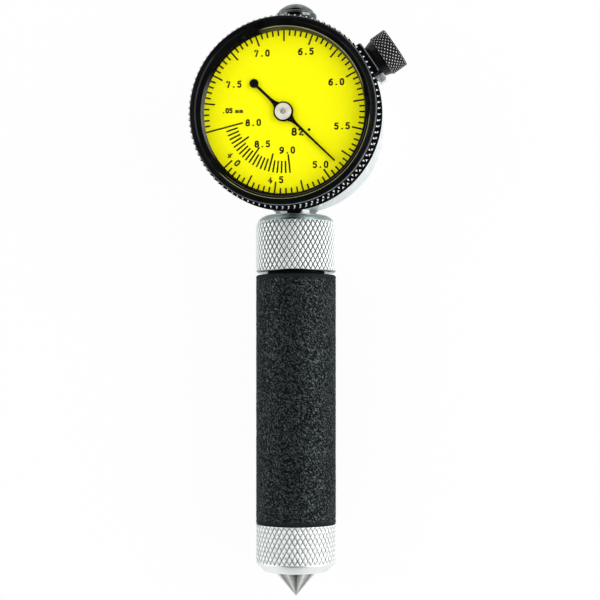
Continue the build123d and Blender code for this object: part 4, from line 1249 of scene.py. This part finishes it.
def makeNumbers():
    grids = []
    for text, centre in numbers:
        grids += label(text, centre, scale["digitHeight"])
    first = scaleAngle(scale["low"])
    grids += label("4.0", polar(scale["numberRadius"], first), scale["digitHeight"], turn=first + np.pi / 2)
    for text, centre, height, stroke, advance in smallPrint:
        grids += label(text, centre, height, stroke=stroke, advance=advance)
    return grids


makePiece("dialMarks", makeScaleMarks() + makeNumbers(), "bezel", "dialInk", "black_paint")
print("dial print made")

# Pointer

arborHole = 0.61
pointer = {
    "reads": 9.48,
    "tip": 15.9,
    "tail": 9.2,
    "ball": 1.0,
    "rows": 260,
    "rootWidth": 0.62,
    "tipWidth": 0.36,
    "tailWidth": 0.58,
    "flare": 0.55,
    "flareRun": 0.7,
    "blunt": 0.01,
    "boss": 2.2,
    "columns": 96,
    "thickness": 0.25,
    "bossThickness": 0.45,
    "section": ((-1, 0), (-1, 0.75), (-0.8, 1), (0, 1), (0.8, 1), (1, 0.75), (1, 0)),  # across and up
}


def makePointer():
    low = nodeBox("pointer")[0][2]
    tip, tail, ball, boss = pointer["tip"], pointer["tail"], pointer["ball"], pointer["boss"]
    s = np.linspace(-tail - ball + slack / 10, tip, pointer["rows"])
    # Half width along the hand: a taper, flared at the boss by e^-x, and a circle at the tail
    share = np.clip(s / tip, 0, 1)
    hand = pointer["rootWidth"] * (1 - share) + pointer["tipWidth"] * share
    taper = np.where(s > 0, hand, pointer["tailWidth"]) / 2
    flare = pointer["flare"] * np.exp(-np.clip(np.abs(s) - boss, 0, None) / pointer["flareRun"])
    end = np.sqrt(np.clip(ball**2 - (s + tail) ** 2, 0, None))
    half = np.where(s < -tail, np.maximum(end, pointer["blunt"]), np.maximum(taper + flare, end))
    across, up = np.array(pointer["section"], float).T
    turn = scaleAngle(pointer["reads"])
    along = np.array([np.cos(turn), np.sin(turn), 0.0])
    aside = np.array([-np.sin(turn), np.cos(turn), 0.0])
    grid = s[:, None, None] * along + (half[:, None] * across)[..., None] * aside + dialAxis[0]
    grid[..., 2] += low + pointer["thickness"] * up
    top = low + pointer["bossThickness"]
    ring = softProfile([(arborHole, low, 0), (boss, low, 0), (boss, top, 0.1), (arborHole, top, 0)])
    disc = shell(*turned(dialAxis, ring, pointer["columns"]), loopRows=True)
    role = "pointer_arbor", "blackSatin", "black_paint", "pointer"
    makePiece("pointerHand", [shell(grid, capEnds=True), disc], *role)


makePointer()

hub = {
    "radius": 1.85, "step": 1.5, "stepHeight": 0.14, "stepRise": 0.02, "ring": 0.64, "ringWidth": 0.17,
    "ringDepth": 0.3, "columns": 96,
}


def makeHub():
    # A stepped disc on the pointer's boss, with a groove round its hole.
    base, top = (corner[2] for corner in nodeBox("pointer_hub"))
    ledge, floor, ring = base + hub["stepHeight"], top - hub["ringDepth"], hub["ring"]
    groove = ring + hub["ringWidth"]
    outline = softProfile([
        (arborHole, base, 0), (hub["radius"], base, 0), (hub["radius"], ledge, 0.05),
        (hub["step"], ledge + hub["stepRise"], 0.02), (hub["step"], top, 0.05), (groove, top, 0.02),
        (groove, floor, 0), (ring, floor, 0), (ring, top, 0.02), (arborHole, top, 0),
    ])
    role = "pointer_arbor", "hubSilver", "hub_silver", "pointer_hub"
    turnPiece("hubCap", dialAxis, outline, hub["columns"], role)


makeHub()
print("pointer made")

# Bezel clamp: clip, shoe and thumb screw


edgeRows = 5


def softBlock(plan, low, high, corner, rubbed=None):
    # A plan outline goes up as a wall and is drawn in at both ends by corner * (1 - sin a), then to its
    # middle. Where the plan is marked, the upper edge gets a painted highlight, the pale colour of bare
    # metal.
    middle = plan.mean(axis=0)
    reach = np.linalg.norm(plan - middle, axis=1).min()
    turn = np.linspace(0, np.pi / 2, edgeRows)
    inset, rise = corner * (1 - np.sin(turn)), corner * (1 - np.cos(turn))
    share = 1 - np.concatenate([[reach], inset, inset[::-1], [reach]]) / reach
    height = np.concatenate([[low], low + rise, high - rise[::-1], [high]])
    flat = middle + share[:, None, None] * (plan - middle)
    out = clampAxis[1]
    aside = np.array([-out[1], out[0], 0.0])
    grid = dialAxis[0] + flat[..., :1] * out + flat[..., 1:] * aside
    grid[..., 2] += height[:, None]
    tone = np.ones(grid.shape[:2])
    if rubbed is not None:
        tone[edgeRows + 2 : 2 * edgeRows, rubbed] = paintedSheenTone
    return shell(grid, tone)


clip = {
    "seat": 19.51, "out": 22.6, "start": -3.25, "end": 4.6, "corner": 0.6, "edge": 0.16, "rubbed": 0.3,
    "rows": 15,
}


def makeClip():
    # The plan's inner side lies on the case, x = sqrt(seat^2 - y^2), and its outer corners are rounded.
    low, high = nodeBox("clamp_clip")
    first, last, seat, out, corner = (clip[name] for name in ("start", "end", "seat", "out", "corner"))
    curve = np.linspace(last, first, clip["rows"])
    inner = np.column_stack([np.sqrt(seat**2 - curve**2), curve])
    outer = softProfile([(seat, first, 0), (out, first, corner), (out, last, corner), (seat, last, 0)])
    plan = np.concatenate([inner, outer[1:-1]])
    # The outer top edge of the clip gets a painted highlight.
    block = softBlock(plan, low[2], high[2], clip["edge"], rubbed=plan[:, 0] > out - clip["rubbed"])
    makePiece("clampBlock", [block], "head", "blackGloss", "black_paint", "clamp_clip")


makeClip()

shoe = {"in": 21.15, "out": 23.05, "start": -3.25, "end": -5.3, "corner": 0.3, "edge": 0.2}


def makeShoe():  # a block with two rounded corners
    low, high = nodeBox("clamp_shoe")
    near, far, start, end, corner = (shoe[name] for name in ("in", "out", "start", "end", "corner"))
    plan = softProfile([(near, start, 0), (near, end, corner), (far, end, corner), (far, start, 0)])
    block = softBlock(plan, low[2], high[2], shoe["edge"])
    makePiece("clampShoe", [block], "head", "platedShoe", "plated_steel", "clamp_shoe")


makeShoe()

screw = {
    "start": 17.9,
    "shank": 0.9,
    "seat": 22.62,
    "seatRadius": 3.8,
    "neckTop": 24.62,
    "neckStep": 0.35,
    "radius": 4.75,
    "top": 28.62,
    "corner": 0.35,
    "dish": 0.12,
    "dishEdge": (1.2, 1.4),  # from the rim in
    "low": 24.85,
    "high": 28.35,
    "floor": 4.6,
    "count": 28,
    "pitch": 0.87,
    "perDiamond": 10,
    "depth": 0.22,
    "flank": 0.85,
    "paintedFlankLight": 0.0,
    "paintedGrooveLift": 0.0,
    "columns": 336,
}


def makeThumbScrew():
    # Shank, seat and knurled head, dished at its end, are one outline.
    radius, top, start, seat, shank = (screw[name] for name in ("radius", "top", "start", "seat", "shank"))
    edge, floor, dish = radius - screw["dishEdge"][0], radius - screw["dishEdge"][1], top - screw["dish"]
    lower = softProfile([
        (0, start, 0), (shank, start, 0.1), (shank, seat, 0), (screw["seatRadius"], seat, 0.1),
        (radius - screw["neckStep"], screw["neckTop"], 0.1), (radius, screw["low"], 0.1),
        (radius, screw["low"] + lead, 0),
    ])[:-1]
    upper = softProfile([
        (radius, screw["high"] - 0.05, 0), (radius, top, screw["corner"]), (edge, top, 0.1),
        (floor, dish, 0.1), (0, dish, 0),
    ])[1:]
    outline = np.concatenate([lower, column(radius, knurlRows(screw)), upper])
    role = "clamp_screw", "blackOxide", "black_knurl", "clamp_screw"
    turnPiece("thumbScrew", clampAxis, outline, screw["columns"], role, diamondKnurl(screw), hollow=False)


makeThumbScrew()
print("bezel clamp made")

# Floor, world and lamps

studio = {
    "floorSize": 3000.0,
    "floorGlow": 0.95,
    "mirroredGlow": 0.15,
    "floorColour": (0.9, 0.9, 0.9, 1.0),
    "ambient": 0.8,
    "gapCentre": -3.0,  # degrees round the barrel, from straight over the dial
    "gapHalf": 38.0,
    "gapSoft": 8.0,
    "gapDark": 0.01,
    "skylight": 0.66,
    "skyHalf": (0.05, 0.13),
    "roomLight": 1.0,
    "foot": (-0.97, -0.85),  # the room is dark past the anvil too
    "roof": (0.86, 0.97),  # and past the cap
    "crystalDepth": 2.5,
    "lampSize": (0.8, 1.2),  # metres
    "lampPowers": (4.2, 9.6),
    "lampTurns": (-66.0, 70.0),
    "lampDistance": 900.0,
    "lampHeight": 70.0,
}


def seenDirectly(tree, path):
    return addMath(tree, "MAXIMUM", path["Is Camera Ray"], path["Is Transmission Ray"])


def makeFloor():
    # The floor glows to the eye and a little to mirrors, so it stays pale and lights the gauge no more.
    size, level = studio["floorSize"] / perMetre, cadLow.z
    corners = [(-size, -size, level), (size, -size, level), (size, size, level), (-size, size, level)]
    mesh = bpy.data.meshes.new("floor")
    mesh.from_pydata(corners, [], [(0, 1, 2, 3)])
    floor = bpy.data.objects.new("floor", mesh)
    bpy.context.scene.collection.objects.link(floor)
    material = bpy.data.materials.new("paleFloor")
    tree = emptyTree(material)
    path = addNode(tree, "LightPath").outputs
    mirrored = addTimes(tree, path["Is Glossy Ray"], studio["mirroredGlow"])
    seen = addTimes(tree, seenDirectly(tree, path), studio["floorGlow"])
    matt = addNode(tree, "BsdfDiffuse", {"Color": studio["floorColour"]}).outputs[0]
    glow = addNode(tree, "Emission").outputs[0]
    both = mixShaders(tree, addMath(tree, "MAXIMUM", mirrored, seen), matt, glow)
    addNode(tree, "OutputMaterial", {"Surface": both})
    mesh.materials.append(material)


def makeWorld():
    # Reflections see a pale room and a dark gap over the gauge, where |atan2(x, z) - centre| is under its
    # half width, and across the gap a band of light where |y - skylight| is under skyHalf.
    world = bpy.data.worlds.new("studio")
    bpy.context.scene.world = world
    tree = emptyTree(world)

    def distance(value, middle):
        return addMath(tree, "ABSOLUTE", addMath(tree, "SUBTRACT", value, middle))

    x, y, z = addNode(tree, "SeparateXYZ", {0: addNode(tree, "TexCoord").outputs["Generated"]}).outputs
    off = distance(addMath(tree, "ARCTAN2", x, z), np.radians(studio["gapCentre"]))
    edges = np.radians([studio["gapHalf"] - studio["gapSoft"], studio["gapHalf"] + studio["gapSoft"]])
    gap = addRange(tree, off, *edges, studio["gapDark"], studio["roomLight"])
    sky = addRange(tree, distance(y, studio["skylight"]), *studio["skyHalf"], 1.0, 0.0)
    foot = addRange(tree, y, *studio["foot"], studio["gapDark"], 1.0)
    roof = addRange(tree, y, *studio["roof"], 1.0, studio["gapDark"])
    light = addTimes(tree, addTimes(tree, addMath(tree, "MAXIMUM", gap, sky), roof), foot)
    room = addNode(tree, "Background", {"Strength": light}).outputs[0]
    even = addNode(tree, "Background", {"Strength": studio["ambient"]}).outputs[0]
    white = addNode(tree, "Background", {"Color": (1.0, 1.0, 1.0, 1.0)}).outputs[0]
    # The crystal's two faces and every bare metal mirror the room; what lies under the crystal does not.
    path = addNode(tree, "LightPath").outputs
    over = addMath(tree, "LESS_THAN", path["Transmission Depth"], studio["crystalDepth"])
    mirrored = addTimes(tree, addMath(tree, "MINIMUM", path["Glossy Depth"], 1.0), over)
    mirrored = addTimes(tree, mirrored, path["Is Glossy Ray"])
    shown = mixShaders(tree, seenDirectly(tree, path), even, white)
    addNode(tree, "OutputWorld", {"Surface": mixShaders(tree, mirrored, shown, room)})


def makeLamps():
    for number, (degrees, power) in enumerate(zip(studio["lampTurns"], studio["lampPowers"])):
        data = bpy.data.lights.new(f"softbox{number}", "AREA")
        data.shape = "RECTANGLE"
        data.size, data.size_y = studio["lampSize"]
        data.energy = power
        placeFacing(f"softbox{number}", data, degrees, studio["lampDistance"], studio["lampHeight"])


makeFloor()
makeWorld()
makeLamps()
bpy.context.scene.view_settings.view_transform = "Standard"
print("studio made")
